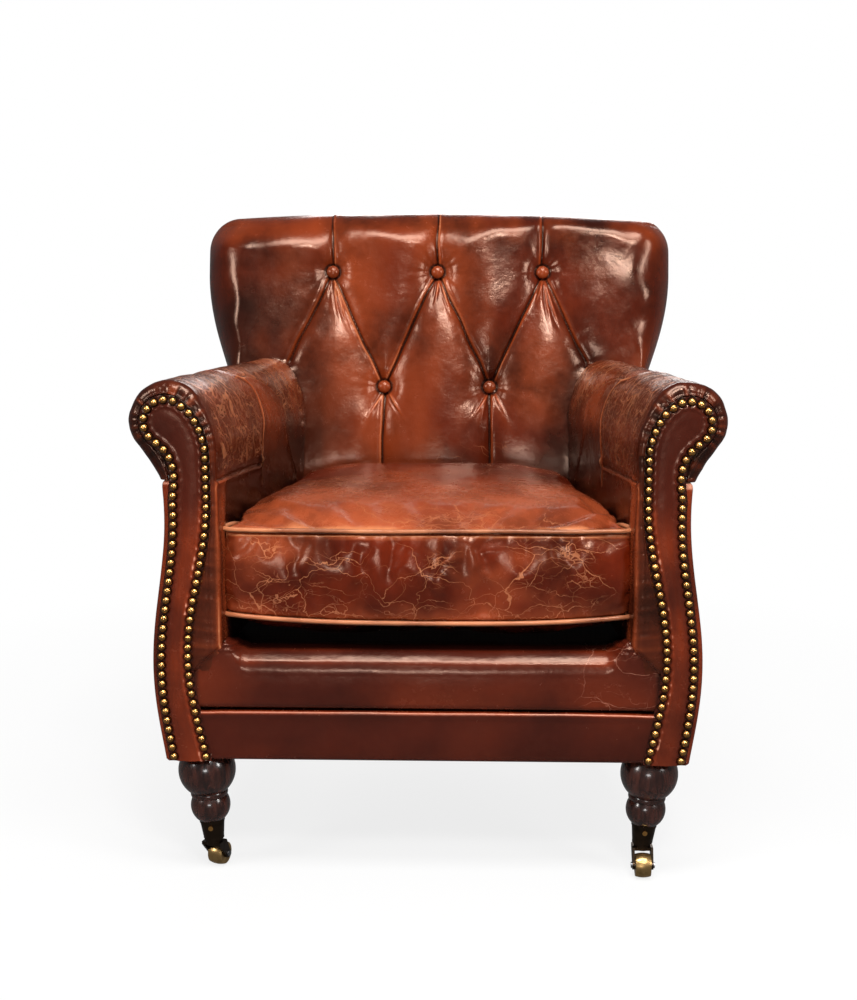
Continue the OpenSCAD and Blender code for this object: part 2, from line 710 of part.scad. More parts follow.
// A row is [share of the way up, whether it lies between the arms]
row_list = concat([for (j = [0 : pad_rows_low]) [j / pad_rows_low, true]],
    [for (j = [0 : pad_rows]) [j == 0 ? 0.006 : sin(90 * j / pad_rows), false]]);
function pad_point(i, r) = let (
    t = pad_spread(i),
    low = row_list[r][1],
    v = row_list[r][0],
    w_mid = low ? pad_low_w + v * (ledge_w - pad_low_w) : ledge_w + v * (pad_top_w(0) - ledge_w),
    half = low ? pad_low_x : min(back_side(rim_z(w_mid)) - 1, side_at(w_mid)),
    x = t * half,
    w = low ? w_mid : ledge_w + v * (pad_top_w(x) - ledge_w))
    [x, w, half];
// Half width of the rounded upper corners, up to where the crest takes over
function side_at(w) = let (up = w - rim_w(crest_side_z), r = back_corner_r)
    up <= 0 ? far : corner_in - 1 + sqrt(max(r * r / 2, r * r - up * up));
function pad_depth(i, r) = let (
    p = pad_point(i, r),
    full = pad_rear_n - pad_n(p.y),
    shape = rounded((p.z - abs(p.x)) / side_round(p.y), 0.12)
        * rounded((pad_top_w(p.x) - p.y) / top_round, 0.12))
    pad_rear_n - full * shape - pillow_at([p.x, p.y]) * shape + dimple_at([p.x, p.y]);
pad_last = len(row_list) - 1;
function pad_id(i, r) = r * (pad_cols + 1) + i;
pad_front = [for (r = [0 : pad_last], i = [0 : pad_cols])
    let (p = pad_point(i, r)) in_world([p.x, p.y, pad_depth(i, r)])];
pad_loop = concat([for (i = [0 : pad_cols - 1]) [i, 0]], [for (r = [0 : pad_last - 1]) [pad_cols, r]],
    [for (i = [pad_cols : -1 : 1]) [i, pad_last]], [for (r = [pad_last : -1 : 1]) [0, r]]);
pad_rear = [for (q = pad_loop) let (p = pad_point(q[0], q[1])) in_world([p.x, p.y, pad_rear_n])];
pad_hub = in_world([0, (pad_low_w + plane_h) / 2, pad_rear_n]);
function quad(a, b, c, d) = [[a, b, c], [a, c, d]];
module pad_form() {
    n = len(pad_loop);
    rear0 = len(pad_front);
    hub = rear0 + n;
    faces = concat(
        [for (r = [0 : pad_last - 1], i = [0 : pad_cols - 1])
            each quad(pad_id(i, r), pad_id(i, r + 1), pad_id(i + 1, r + 1), pad_id(i + 1, r))],
        [for (k = [0 : n - 1]) let (m = (k + 1) % n, a = pad_loop[k], b = pad_loop[m])
            each quad(pad_id(a[0], a[1]), pad_id(b[0], b[1]), rear0 + m, rear0 + k)],
        [for (k = [0 : n - 1]) [rear0 + k, rear0 + (k + 1) % n, hub]]);
    polyhedron(concat(pad_front, pad_rear, [pad_hub]), faces, convexity = 6);
}
module at_button(b, n) {
    translate(in_world([b.x, b.y, n])) rotate([90 - recline, 0, 0]) children();
}
function button_floor(b) = pad_n(b.y) + button_sink + 1;
module back_pad() {
    color(leather_mid) difference() {
        pad_form();
        for (b = buttons) at_button(b, button_floor(b)) {
            cylinder(h = 60, d = button_d + 3 * soft_gap, $fn = 48);
            translate([0, 0, -200]) cylinder(h = 220, d = twine_d + 2 * soft_gap, $fn = 24);
        }
    }
}
twine_d = 2;
button_h = 9;
module back_buttons() {
    r = (button_d * button_d / 4 + 25) / 10;
    color(leather_dark) for (b = buttons) at_button(b, button_floor(b) - soft_gap)
        rotate_extrude($fn = 48) union() {
            square([button_d / 2, button_h - 5]);
            intersection() {
                translate([0, button_h - r]) circle(r);
                translate([0, button_h - 5]) square([button_d, 5]);
            }
        }
}
module button_twines() {
    color(jute) for (b = buttons) {
        n = button_floor(b) - soft_gap;
        at_button(b, -rear_top_n) cylinder(h = -rear_top_n - n, d = twine_d, $fn = 24);
    }
}

// Loose cushion: rings from the middle of its underside to the middle of its top
cushion_setback = 14;
cushion_y0 = leather_y + cushion_setback;
cushion_y1 = seat_back_y - cushion_gap;
cushion_low = deck_z + soft_gap;
piping_low_z = cushion_low + crown_bottom;
piping_high_z = piping_low_z + boxing_h;
// The cushion's side lies along the arm's inside face, one millimetre off it
side_d = in_line(arm_in - 1);
function in_line(x) = (panel_x + (x - panel_x) * cos(arm_toe)) * cos(arm_toe)
    + (leather_y + (x - panel_x) * sin(arm_toe)) * sin(arm_toe);
function corner_x(y, r) = (side_d - r - y * sin(arm_toe)) / cos(arm_toe);
corner_front = [corner_x(cushion_y0 + cushion_corner_r, cushion_corner_r), cushion_y0 + cushion_corner_r];
corner_rear = [corner_x(cushion_y1 - cushion_corner_r, cushion_corner_r), cushion_y1 - cushion_corner_r];
function round_at(c, r, a) = c + r * [cos(a), sin(a)];
function line_pts(a, b, n) = [for (i = [1 : n - 1]) a + (b - a) * i / n];
function half_ring(r) = let (
    f = [for (i = [0 : 6]) round_at(corner_front, r, -90 + (90 + arm_toe) * i / 6)],
    b = [for (i = [0 : 6]) round_at(corner_rear, r, arm_toe + (90 - arm_toe) * i / 6)])
    concat(line_pts([0, cushion_y0 + cushion_corner_r - r], f[0], 5), f, line_pts(f[6], b[0], 7), b,
        line_pts(b[6], [0, cushion_y1 - cushion_corner_r + r], 5));
function ring(inset, share) = let (
    h = half_ring(cushion_corner_r - inset),
    mid = [0, (cushion_y0 + cushion_y1) / 2],
    all = concat([[0, cushion_y0 + inset]], h, [[0, cushion_y1 - inset]],
        [for (i = [len(h) - 1 : -1 : 0]) [-h[i].x, h[i].y]]))
    [for (p = all) mid + (p - mid) * share];
seam_in = piping_d + soft_gap;
// Each entry is [inset, share of full size, height]
cushion_profile = concat(
    [for (s = [0.25, 0.5, 0.7, 0.84, 0.94]) [seam_in + 4, s, cushion_low + crown_bottom * pow(s, 4) * 0.82]],
    [[seam_in + 2, 1, piping_low_z - 2.5], [seam_in, 1, piping_low_z], [seam_in - 0.6, 1, piping_low_z + 4.2]],
    [for (t = [0.12, 0.3, 0.5, 0.7, 0.88])
        [(seam_in - 2) * pow(2 * t - 1, 4), 1, piping_low_z + boxing_h * t]],
    [[seam_in - 0.6, 1, piping_high_z - 4.2], [seam_in, 1, piping_high_z], [seam_in + 2, 1, piping_high_z + 2.5]],
    [for (s = [0.95, 0.85, 0.7, 0.5, 0.25]) [seam_in + 4, s, piping_high_z + crown_top * (1 - 0.8 * pow(s, 4))]]);
module seat_cushion() {
    rings = [for (q = cushion_profile) [for (p = ring(q[0], q[1])) [p.x, p.y, q[2]]]];
    n = len(rings[0]);
    m = len(rings);
    mid_y = (cushion_y0 + cushion_y1) / 2;
    pts = concat([for (r = rings) each r], [[0, mid_y, cushion_low], [0, mid_y, piping_high_z + crown_top]]);
    faces = concat(
        [for (j = [0 : m - 2], k = [0 : n - 1]) let (l = (k + 1) % n)
            each quad(j * n + k, (j + 1) * n + k, (j + 1) * n + l, j * n + l)],
        [for (k = [0 : n - 1]) [m * n, k, (k + 1) % n]],
        [for (k = [0 : n - 1]) [m * n + 1, (m - 1) * n + (k + 1) % n, (m - 1) * n + k]]);
    color(leather_worn) polyhedron(pts, faces, convexity = 4);
}
function piping_side(r) = concat([for (i = [0 : 6]) round_at(corner_front, r, -90 + (90 + arm_toe) * i / 6)],
    [for (i = [0 : 6]) round_at(corner_rear, r, arm_toe + (90 - arm_toe) * i / 6)]);
module cushion_piping(z) {
    side = piping_side(cushion_corner_r - piping_d / 2);
    path = concat(side, [for (i = [len(side) - 1 : -1 : 0]) [-side[i].x, side[i].y]]);
    color(leather_worn) translate([0, 0, z]) flat_tube(path, piping_d, 8, true);
}

// Legs: turned at the front, square and raked at the rear
front_leg_y = leather_y + front_leg_setback;
rear_leg_y = plane_y - panel_t - 3 - rear_leg_w / 2;
swivel_z = wheel_d + 11;
cup_top = swivel_z + cup_h;
shank_r = 17;
tenon_r = 11.5;
module leaning_leg() {
    translate([front_leg_x, front_leg_y, body_z]) rotate([0, leg_lean, 0]) translate([0, 0, -body_z])
        children();
}
module front_leg(side) {
    low_bulb_r = leg_r - 11.5;
    color(mahogany) both_sides(side) difference() {
        intersection() {
            leaning_leg() rotate_extrude() intersection() {
                union() {
                    translate([0, body_z - 25]) circle(leg_r);
                    translate([18.5, body_z - 57]) circle(6);
                    translate([0, body_z - 74]) circle(low_bulb_r);
                    translate([0, cup_top]) square([shank_r - 1, body_z - cup_top]);
                    translate([0, swivel_z + 9]) square([tenon_r, body_z - swivel_z - 9]);
                    translate([0, body_z - 20]) square([30, 40]);
                }
                union() {
                    translate([0, cup_top + soft_gap]) square([60, far]);
                    square([tenon_r, far]);
                }
            }
            cube([2 * far, 2 * far, 2 * body_z], center = true);
        }
        translate([front_leg_x, front_leg_y, body_z - leg_bolt_l - 1])
            cylinder(h = far, d = leg_bolt_d + 2 * bore_gap);
        translate([swivel_x, front_leg_y, 0]) cylinder(h = pin_top + 1, d = pin_d + 1);
        leaning_leg() screw_at() cylinder(h = 14, d = 3 + 2 * bore_gap);
    }
}
module rear_leg(side) {
    top = rear_leg_w;
    foot = rear_leg_foot;
    color(mahogany) both_sides(side) difference() {
        hull() {
            translate([rear_leg_x - top / 2, rear_leg_y - top / 2, body_z - 1]) cube([top, top, 1]);
            translate([rear_leg_x - foot / 2, rear_leg_y + rear_leg_rake - foot / 2, glide_h])
                cube([foot, foot, 1]);
        }
        translate([rear_leg_x, rear_leg_y, body_z - leg_bolt_l - 1])
            cylinder(h = far, d = leg_bolt_d + 2 * bore_gap);
    }
}
module leg_bolts() {
    color(steel) for (side = [-1, 1], p = [[front_leg_x, front_leg_y], [rear_leg_x, rear_leg_y]])
        translate([side * p.x, p.y, body_z - leg_bolt_l])
            cylinder(h = leg_bolt_l + block_h, d = leg_bolt_d);
}
module rear_glides() {
    color(black_cloth) for (side = [-1, 1])
        translate([side * rear_leg_x, rear_leg_y + rear_leg_rake, 0]) cylinder(h = glide_h, d = glide_d);
}

// Casters: a cup on the leg's end, and a fork that swivels on a pin under it
swivel_x = front_leg_x - (body_z - swivel_z) * tan(leg_lean);
pin_top = swivel_z + 20;
module screw_at() {
    translate([0, 0, cup_top - 9]) rotate([90, 0, 0]) children();
}
module caster_cup(side) {
    color(bronze) both_sides(side) difference() {
        intersection() {
            leaning_leg() rotate_extrude() difference() {
                polygon([[0, swivel_z - 4], [13.5, swivel_z - 4], [13.5, swivel_z + 2],
                    [16, cup_top - 4], [16.6, cup_top - 4], [16.6, cup_top], [0, cup_top]]);
                translate([0, swivel_z + 9]) square([tenon_r + bore_gap, far]);
            }
            translate([-far, -far, swivel_z]) cube(3 * far);
        }
        translate([swivel_x, front_leg_y, 0]) cylinder(h = pin_top + 1, d = pin_d + 2 * bore_gap);
        leaning_leg() screw_at() translate([0, 0, 5]) cylinder(h = 14, d = 3 + 2 * bore_gap);
    }
}
module caster_screws() {
    color(brass) for (side = [-1, 1]) both_sides(side) leaning_leg() screw_at() {
        translate([0, 0, 6]) cylinder(h = 10.5, d = 3);
        translate([0, 0, 16.2]) cylinder(h = 1.6, d = 6.4);
    }
}
module swivelled(side) {
    translate([side * swivel_x, front_leg_y, 0]) rotate([0, 0, side > 0 ? rest_right : rest_left])
        children();
}
fork_gap = 0.6;
fork_t = 3;
fork_r = 6;
axle_z = wheel_d / 2;
cheek_x = wheel_w / 2 + fork_gap;
horn_z = wheel_d + 2;
module caster_fork(side) {
    color(bronze) swivelled(side) difference() {
        union() {
            for (s = [-1, 1]) translate([s > 0 ? cheek_x : -cheek_x - fork_t, 0, 0])
                rotate([90, 0, 90]) linear_extrude(fork_t) union() {
                    translate([-trail, axle_z]) circle(fork_r);
                    polygon([[-trail - fork_r, axle_z], [-trail + fork_r, axle_z - 1],
                        [9, horn_z], [9, horn_z + 4], [-10, horn_z + 4]]);
                }
            translate([-cheek_x - fork_t, -10, horn_z]) cube([2 * (cheek_x + fork_t), 19, 4]);
            translate([0, 0, horn_z]) cylinder(h = swivel_z - bore_gap - horn_z, r = 11);
        }
        cylinder(h = 2 * swivel_z, d = pin_d + 2 * bore_gap);
        translate([-far / 2, -trail, axle_z]) rotate([0, 90, 0]) cylinder(h = far, d = axle_d + 2 * bore_gap);
    }
}
module caster_pin(side) {
    color(steel) swivelled(side) translate([0, 0, horn_z - 1]) union() {
        cylinder(h = pin_top - horn_z + 1, d = pin_d);
        cylinder(h = 1 - bore_gap, d = pin_d + 3);
    }
}
module caster_axle(side) {
    half = cheek_x + fork_t;
    color(steel) swivelled(side) translate([0, -trail, axle_z]) rotate([0, 90, 0]) union() {
        cylinder(h = 2 * half + 2 * bore_gap, d = axle_d, center = true);
        for (s = [-1, 1]) translate([0, 0, s * (half + bore_gap + 0.9)])
            cylinder(h = 1.8, d = axle_d + 3, center = true);
    }
}
module caster_wheel(side) {
    crown = 1.6;
    r = (wheel_w * wheel_w / 4 + crown * crown) / (2 * crown);
    color(brass) swivelled(side) translate([0, -trail, axle_z]) rotate([0, 90, 0])
        rotate_extrude() intersection() {
            translate([wheel_d / 2 - r, 0]) circle(r, $fn = 256);
            translate([axle_d / 2 + bore_gap, -wheel_w / 2]) square([wheel_d, wheel_w]);
        }
}

front_rail();
rear_rail();
side_rail(-1);  // side_rail_left
side_rail(1);  // side_rail_right
leg_blocks();
arm_stump(-1);  // arm_stump_left
arm_stump(1);  // arm_stump_right
arm_rail(-1);  // arm_rail_left
arm_rail(1);  // arm_rail_right
arm_rear_post(-1);  // arm_rear_post_left
arm_rear_post(1);  // arm_rear_post_right
back_post(-1);  // back_post_left
back_post(1);  // back_post_right
back_top_rail();
back_lower_rail();
seat_springs();
spring_clips();
deck();
back_webbing();
dust_cover();
front_roll();
front_border();
arm(-1);  // arm_left
arm(1);  // arm_right
arm_facing(-1);  // arm_facing_left
arm_facing(1);  // arm_facing_right
outside_arm(-1);  // outside_arm_left
outside_arm(1);  // outside_arm_right
nailheads(-1);  // nailheads_left
nailheads(1);  // nailheads_right
back_pad();
back_band();
outside_back();
back_buttons();
button_twines();
seat_cushion();
cushion_piping(piping_high_z);  // cushion_piping_top
cushion_piping(piping_low_z);  // cushion_piping_bottom
front_leg(-1);  // front_leg_left
front_leg(1);  // front_leg_right
rear_leg(-1);  // rear_leg_left
rear_leg(1);  // rear_leg_right
leg_bolts();
caster_cup(-1);  // caster_cup_left
caster_cup(1);  // caster_cup_right
caster_screws();
caster_fork(-1);  // caster_fork_left
caster_fork(1);  // caster_fork_right
caster_pin(-1);  // caster_pin_left
caster_pin(1);  // caster_pin_right
caster_axle(-1);  // caster_axle_left
caster_axle(1);  // caster_axle_right
caster_wheel(-1);  // caster_wheel_left
caster_wheel(1);  // caster_wheel_right
rear_glides();
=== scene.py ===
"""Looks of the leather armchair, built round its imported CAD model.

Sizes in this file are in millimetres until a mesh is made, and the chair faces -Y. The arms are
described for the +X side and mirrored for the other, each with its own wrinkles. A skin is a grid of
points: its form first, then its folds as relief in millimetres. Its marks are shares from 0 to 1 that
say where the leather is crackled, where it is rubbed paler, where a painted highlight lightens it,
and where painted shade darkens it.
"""
import json
import math

import bpy
import numpy as np
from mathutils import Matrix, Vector


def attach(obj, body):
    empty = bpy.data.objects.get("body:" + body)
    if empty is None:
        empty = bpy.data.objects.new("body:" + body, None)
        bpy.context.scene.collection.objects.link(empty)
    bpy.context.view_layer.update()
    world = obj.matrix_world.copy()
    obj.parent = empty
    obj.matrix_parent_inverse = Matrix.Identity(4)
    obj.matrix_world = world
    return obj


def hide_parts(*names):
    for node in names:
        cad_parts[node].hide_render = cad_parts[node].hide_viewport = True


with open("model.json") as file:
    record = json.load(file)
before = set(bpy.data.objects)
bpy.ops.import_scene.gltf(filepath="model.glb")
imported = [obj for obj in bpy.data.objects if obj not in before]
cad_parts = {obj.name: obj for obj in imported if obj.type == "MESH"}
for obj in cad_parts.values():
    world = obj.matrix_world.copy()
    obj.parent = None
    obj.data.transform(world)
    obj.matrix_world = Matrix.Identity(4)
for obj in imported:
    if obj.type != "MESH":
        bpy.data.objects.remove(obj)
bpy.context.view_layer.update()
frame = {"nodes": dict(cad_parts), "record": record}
scene = bpy.context.scene
MM = 0.001

# Camera first: the photograph's viewing angle, with its focal length and height in pixels
FOCAL, PHOTO_HEIGHT, SENSOR = 1600, 1000, 36
TILT_DOWN, TURN_LEFT = 11.3, 1.6
camera_data = bpy.data.cameras.new("camera")
camera_data.lens = SENSOR * FOCAL / PHOTO_HEIGHT
camera_data.sensor_width = SENSOR
camera_data.clip_end = 60
camera = bpy.data.objects.new("camera", camera_data)
camera.location = (0.057, -2.300, 0.897)
camera.rotation_euler = (math.radians(90 - TILT_DOWN), 0, math.radians(TURN_LEFT))
scene.collection.objects.link(camera)
scene.camera = camera
scene.view_settings.view_transform = "Standard"

# Sizes that the CAD source holds too
LEATHER_Y, FACING_Y = -350.0, -356.0
BODY_Z, DECK_Z = 163.0, 312.0
SEAT_HALF = 259.5
ARM_IN = SEAT_HALF + 0.4
SKIN_GAP = 0.4
TOE, FALL = math.radians(6), math.radians(3.3)
PANEL_X, PANEL_SWELL, PANEL_SWELL_Z, PANEL_SWELL_H = 340.0, 10.5, 285.0, 205.0
SCROLL_R = 48.0
SCROLL = np.array([370 - SCROLL_R / math.cos(TOE), 604.0])
SEAM_DROP, SHOULDER_DROP = 73, 39
SEAM_Z, SHOULDER_Z = SCROLL[1] - SEAM_DROP, SCROLL[1] - SHOULDER_DROP
LIP_X = PANEL_X - PANEL_SWELL + 4.5
RECLINE, PAD_RECLINE = math.radians(10), math.radians(14)
REAR_TOP_N = 38.0
CREST_Z, BACK_CROWN, BACK_CORNER = 845.0, 9.0, 52.0
SEAT_BACK_Y, KNEE_Z = 164.0, 460.0
BACK_FOOT_X, BACK_WING_X = 280.0, 370.0
FLARE_LOW, FLARE_HIGH = 380.0, 745.0
BUTTON_HIGH, BUTTON_LOW, BUTTON_PITCH, WELL = 757.0, 580.0, 166.0, 13.0
NAIL_PITCH, NAIL_R, NAIL_RISE = 12.3, 4.95, 4.2

TOE_SIN, TOE_COS, FALL_TAN = math.sin(TOE), math.cos(TOE), math.tan(FALL)
BACK_SIN, BACK_COS = math.sin(RECLINE), math.cos(RECLINE)
PLANE_H = (CREST_Z - BODY_Z - REAR_TOP_N * BACK_SIN) / BACK_COS
PLANE_Y = 360 - PLANE_H * BACK_SIN
CORNER_IN = BACK_WING_X - BACK_CORNER
CORNER_Z = CREST_Z - BACK_CROWN - BACK_CORNER
SIDES = ((-1, "left"), (1, "right"))

# Small maths
LATTICE = np.random.default_rng(11).random(8192)
HASH = np.array([73856093, 19349663, 83492791])


def xyz(*parts):
    """Points from their coordinates, two or three. A plain number is spread over all of them."""
    return np.stack(np.broadcast_arrays(*parts), -1)


def unit(v):
    return v / np.maximum(np.linalg.norm(v, axis=-1, keepdims=True), 1e-9)


def noise(p, size, seed):
    """Smooth noise from -1 to 1 at points p (..., 3); size is the distance between its knots."""
    q = np.asarray(p, float) / size + 31.7 * seed
    i = np.floor(q).astype(np.int64)
    f = q - i
    f = f * f * (3 - 2 * f)
    total = 0.0
    for corner in range(8):
        d = np.array([corner & 1, corner >> 1 & 1, corner >> 2 & 1])
        weight = np.prod(np.where(d, f, 1 - f), axis=-1)
        key = np.bitwise_xor.reduce((i + d) * HASH, axis=-1)
        total = total + weight * LATTICE[key & (len(LATTICE) - 1)]
    return 2 * total - 1


def fbm(p, size, octaves, seed):
    return sum(noise(p, size / 2 ** k, seed + k) * 0.5 ** k for k in range(octaves))


def ease(t):
    t = np.clip(t, 0, 1)
    return t * t * (3 - 2 * t)


def bell(t):
    return np.exp(-t * t)


def rounded(t):
    """A quarter circle's height, from 0 at its edge to 1."""
    return np.sqrt(1 - (1 - np.clip(t, 0, 1)) ** 2)


def reach_along(path):
    """How far along the path each of its points is."""
    return np.concatenate([[0], np.cumsum(np.linalg.norm(np.diff(path, axis=0), axis=1))])


def resample(path, step):
    """Points along a polyline about step apart, both ends kept."""
    path = np.asarray(path, float)
    reach = reach_along(path)
    at = np.linspace(0, reach[-1], max(2, int(round(reach[-1] / step)) + 1))
    return xyz(*(np.interp(at, reach, column) for column in path.T))


def curve(knots, step=4.0):
    """A smooth curve through its knots."""
    k = np.asarray(knots, float)
    k = np.concatenate([2 * k[:1] - k[1:2], k, 2 * k[-1:] - k[-2:-1]])
    t = np.linspace(0, 1, 12, endpoint=False)[:, None]
    spans = []
    for a, b, c, d in zip(k[:-3], k[1:-2], k[2:-1], k[3:]):
        spans.append(0.5 * (2 * b + (c - a) * t + (2 * a - 5 * b + 4 * c - d) * t ** 2
                            + (3 * b - a - 3 * c + d) * t ** 3))
    return resample(np.concatenate(spans + [k[-2:-1]]), step)


def off_line(u, v, line):
    """Distance of points (u, v) from a polyline, negative to the right of its run."""
    best = np.full(np.shape(u), 1e6)
    turn = np.ones(np.shape(u))
    for a, b in zip(line[:-1], line[1:]):
        d = b - a
        t = np.clip(((u - a[0]) * d[0] + (v - a[1]) * d[1]) / max(d @ d, 1e-9), 0, 1)
        gap = np.hypot(u - a[0] - t * d[0], v - a[1] - t * d[1])
        side = np.where((u - a[0]) * d[1] - (v - a[1]) * d[0] > 0, -1.0, 1.0)
        turn = np.where(gap < best, side, turn)
        best = np.minimum(best, gap)
    return best * turn


def right_of(line):
    """Unit vectors to the right of a flat line's run."""
    run = np.gradient(line, axis=0)
    return unit(xyz(run[:, 1], -run[:, 0]))


def on_circle(centre, r, degrees):
    a = np.radians(degrees)
    return centre + np.asarray(r)[..., None] * xyz(np.cos(a), np.sin(a))


# Meshes
def set_marks(mesh, **marks):
    for key, values in marks.items():
        layer = mesh.attributes.new(key, "FLOAT", "POINT")
        layer.data.foreach_set("value", np.clip(values, 0, 1).astype(np.float32).ravel())


def make_mesh(name, points, faces, **marks):
    mesh = bpy.data.meshes.new(name)
    mesh.from_pydata((points.reshape(-1, 3) * MM).tolist(), [], faces)
    mesh.polygons.foreach_set("use_smooth", np.ones(len(mesh.polygons), bool))
    set_marks(mesh, **{key: np.broadcast_to(values, points.shape[:-1]) for key, values in marks.items()})
    mesh.update()
    obj = bpy.data.objects.new(name, mesh)
    scene.collection.objects.link(obj)
    return obj


def grid_faces(nv, nu, close_u=False, close_v=False, flip=False, start=0):
    ids = np.arange(nv * nu).reshape(nv, nu) + start
    if close_u:
        ids = np.concatenate([ids, ids[:, :1]], 1)
    if close_v:
        ids = np.concatenate([ids, ids[:1]], 0)
    quads = np.stack([ids[:-1, :-1], ids[:-1, 1:], ids[1:, 1:], ids[1:, :-1]], -1).reshape(-1, 4)
    return quads[:, ::-1] if flip else quads


def grid_mesh(name, points, close_u=False, close_v=False, flip=False, **marks):
    """A mesh of one grid of points, or of several grids of one size."""
    nv, nu = points.shape[-3:-1]
    faces = [grid_faces(nv, nu, close_u, close_v, flip, start)
             for start in range(0, points.size // 3, nv * nu)]
    return make_mesh(name, points, np.concatenate(faces).tolist(), **marks)


def mirrored(points, side):
    return points * np.array([side, 1, 1])


# The arm's own line to the world
def toed(p):
    x, y = p[..., 0] - PANEL_X, p[..., 1] - LEATHER_Y
    return xyz(PANEL_X + x * TOE_COS - y * TOE_SIN, LEATHER_Y + x * TOE_SIN + y * TOE_COS, p[..., 2])


def fallen(p, share=1.0):
    """The arm's level line let down towards the rear. Its front stays in one upright plane."""
    return xyz(p[..., 0], p[..., 1], p[..., 2] - share * (p[..., 1] - LEATHER_Y) * FALL_TAN)


def panel_out(z):
    return PANEL_X + PANEL_SWELL * np.cos(math.pi * (z - PANEL_SWELL_Z) / PANEL_SWELL_H)


SHOULDER_IN = SCROLL[0] - ARM_IN
SHOULDER_R = (SHOULDER_DROP ** 2 / (SHOULDER_IN - SCROLL_R) + SHOULDER_IN + SCROLL_R) / 2
SHOULDER = np.array([ARM_IN + SHOULDER_R, SHOULDER_Z])
SHOULDER_A = math.degrees(math.atan2(SHOULDER_DROP, SCROLL[0] - SHOULDER[0]))
LIP_A = math.degrees(math.atan2(-SEAM_DROP, LIP_X - SCROLL[0])
                     + math.acos(SCROLL_R / math.hypot(LIP_X - SCROLL[0], SEAM_DROP)))


# The back's leaning plane: x across, w up it and n out of it to the rear
def in_world(x, w, n):
    return xyz(x, PLANE_Y + w * BACK_SIN + n * BACK_COS, BODY_Z + w * BACK_COS - n * BACK_SIN)


def up_plane(z, n):
    return (z - BODY_Z + n * BACK_SIN) / BACK_COS


def rim_w(z):
    return up_plane(z, -REAR_TOP_N)


def rim_z(w):
    return BODY_Z + w * BACK_COS + REAR_TOP_N * BACK_SIN


def back_side(z):
    rise = np.clip((z - FLARE_LOW) / (FLARE_HIGH - FLARE_LOW), 0, 1)
    return BACK_FOOT_X + (BACK_WING_X - BACK_FOOT_X) * (1 - np.cos(math.pi * rise)) / 2


def back_top(x):
    past = np.maximum(0, np.abs(x) - CORNER_IN)
    drop = BACK_CORNER - np.sqrt(np.maximum(0, BACK_CORNER ** 2 - past ** 2))
    return CREST_Z - BACK_CROWN * (np.minimum(np.abs(x), CORNER_IN) / CORNER_IN) ** 2 - drop


def side_half(w):
    """Half width of the back's outline, its rounded upper corners included."""
    up = w - rim_w(CORNER_Z)
    corner = CORNER_IN + np.sqrt(np.maximum(BACK_CORNER ** 2 / 2, BACK_CORNER ** 2 - np.maximum(up, 0) ** 2))
    return np.minimum(back_side(rim_z(w)), corner)


def pad_n(w):
    """Distance of the padded front out of the back's plane, before tufts and rounding."""
    lean = math.tan(PAD_RECLINE)
    upright = (SEAT_BACK_Y - PLANE_Y - w * BACK_SIN) / BACK_COS
    leaning = SEAT_BACK_Y - PLANE_Y + (BODY_Z - KNEE_Z) * lean + w * (BACK_COS * lean - BACK_SIN)
    leaning = leaning / (BACK_COS + BACK_SIN * lean)
    gap = upright - leaning
    return (upright + leaning + np.sqrt(gap * gap + 60)) / 2


def on_pad(z):
    """How far up the plane the padded front is at a height."""
    return up_plane(z, pad_n(rim_w(z)))


LEDGE_Z = SEAM_Z - (SEAT_BACK_Y - LEATHER_Y) * FALL_TAN + 3
LEDGE_Y = in_world(0, rim_w(LEDGE_Z), -REAR_TOP_N)[1]
LOW_HALF = PANEL_X - PANEL_SWELL - 10 - (LEDGE_Y - LEATHER_Y) * math.tan(TOE)
HIGH_W, LOW_W, WING_W = on_pad(BUTTON_HIGH), on_pad(BUTTON_LOW), on_pad(603)
HALF_PITCH = BUTTON_PITCH / 2
BUTTONS = [(i * BUTTON_PITCH, HIGH_W) for i in (-1, 0, 1)] + [(i * HALF_PITCH, LOW_W) for i in (-1, 1)]
# Each fold is start, end, depth at its start, depth at its end
FOLDS = (
    [((i * BUTTON_PITCH, HIGH_W), (i * (BUTTON_PITCH + 1), PLANE_H + 12), 1.0, 0.75) for i in (-1, 0, 1)]
    + [((i * BUTTON_PITCH, HIGH_W), (j * HALF_PITCH, LOW_W), 1.0, 1.0)
       for i, j in ((-1, -1), (0, -1), (0, 1), (1, 1))]
    + [((i * BUTTON_PITCH, HIGH_W), (i * 240, WING_W), 1.0, 0.8) for i in (-1, 1)]
    + [((i * HALF_PITCH, LOW_W), (i * (HALF_PITCH + 2), LOW_W - 200), 1.0, 0.85) for i in (-1, 1)])
# Small folds that hang from each button: direction from straight down, and length
GATHERS = [[(0.03, 55), (0.15, 72), (0.27, 50)], [(-0.10, 44), (0.20, 58)],
           [(-0.24, 44), (0.02, 64), (0.15, 80), (0.30, 74)],
           [(-0.5, 40), (0.45, 46)], [(-0.5, 44), (0.42, 40)]]


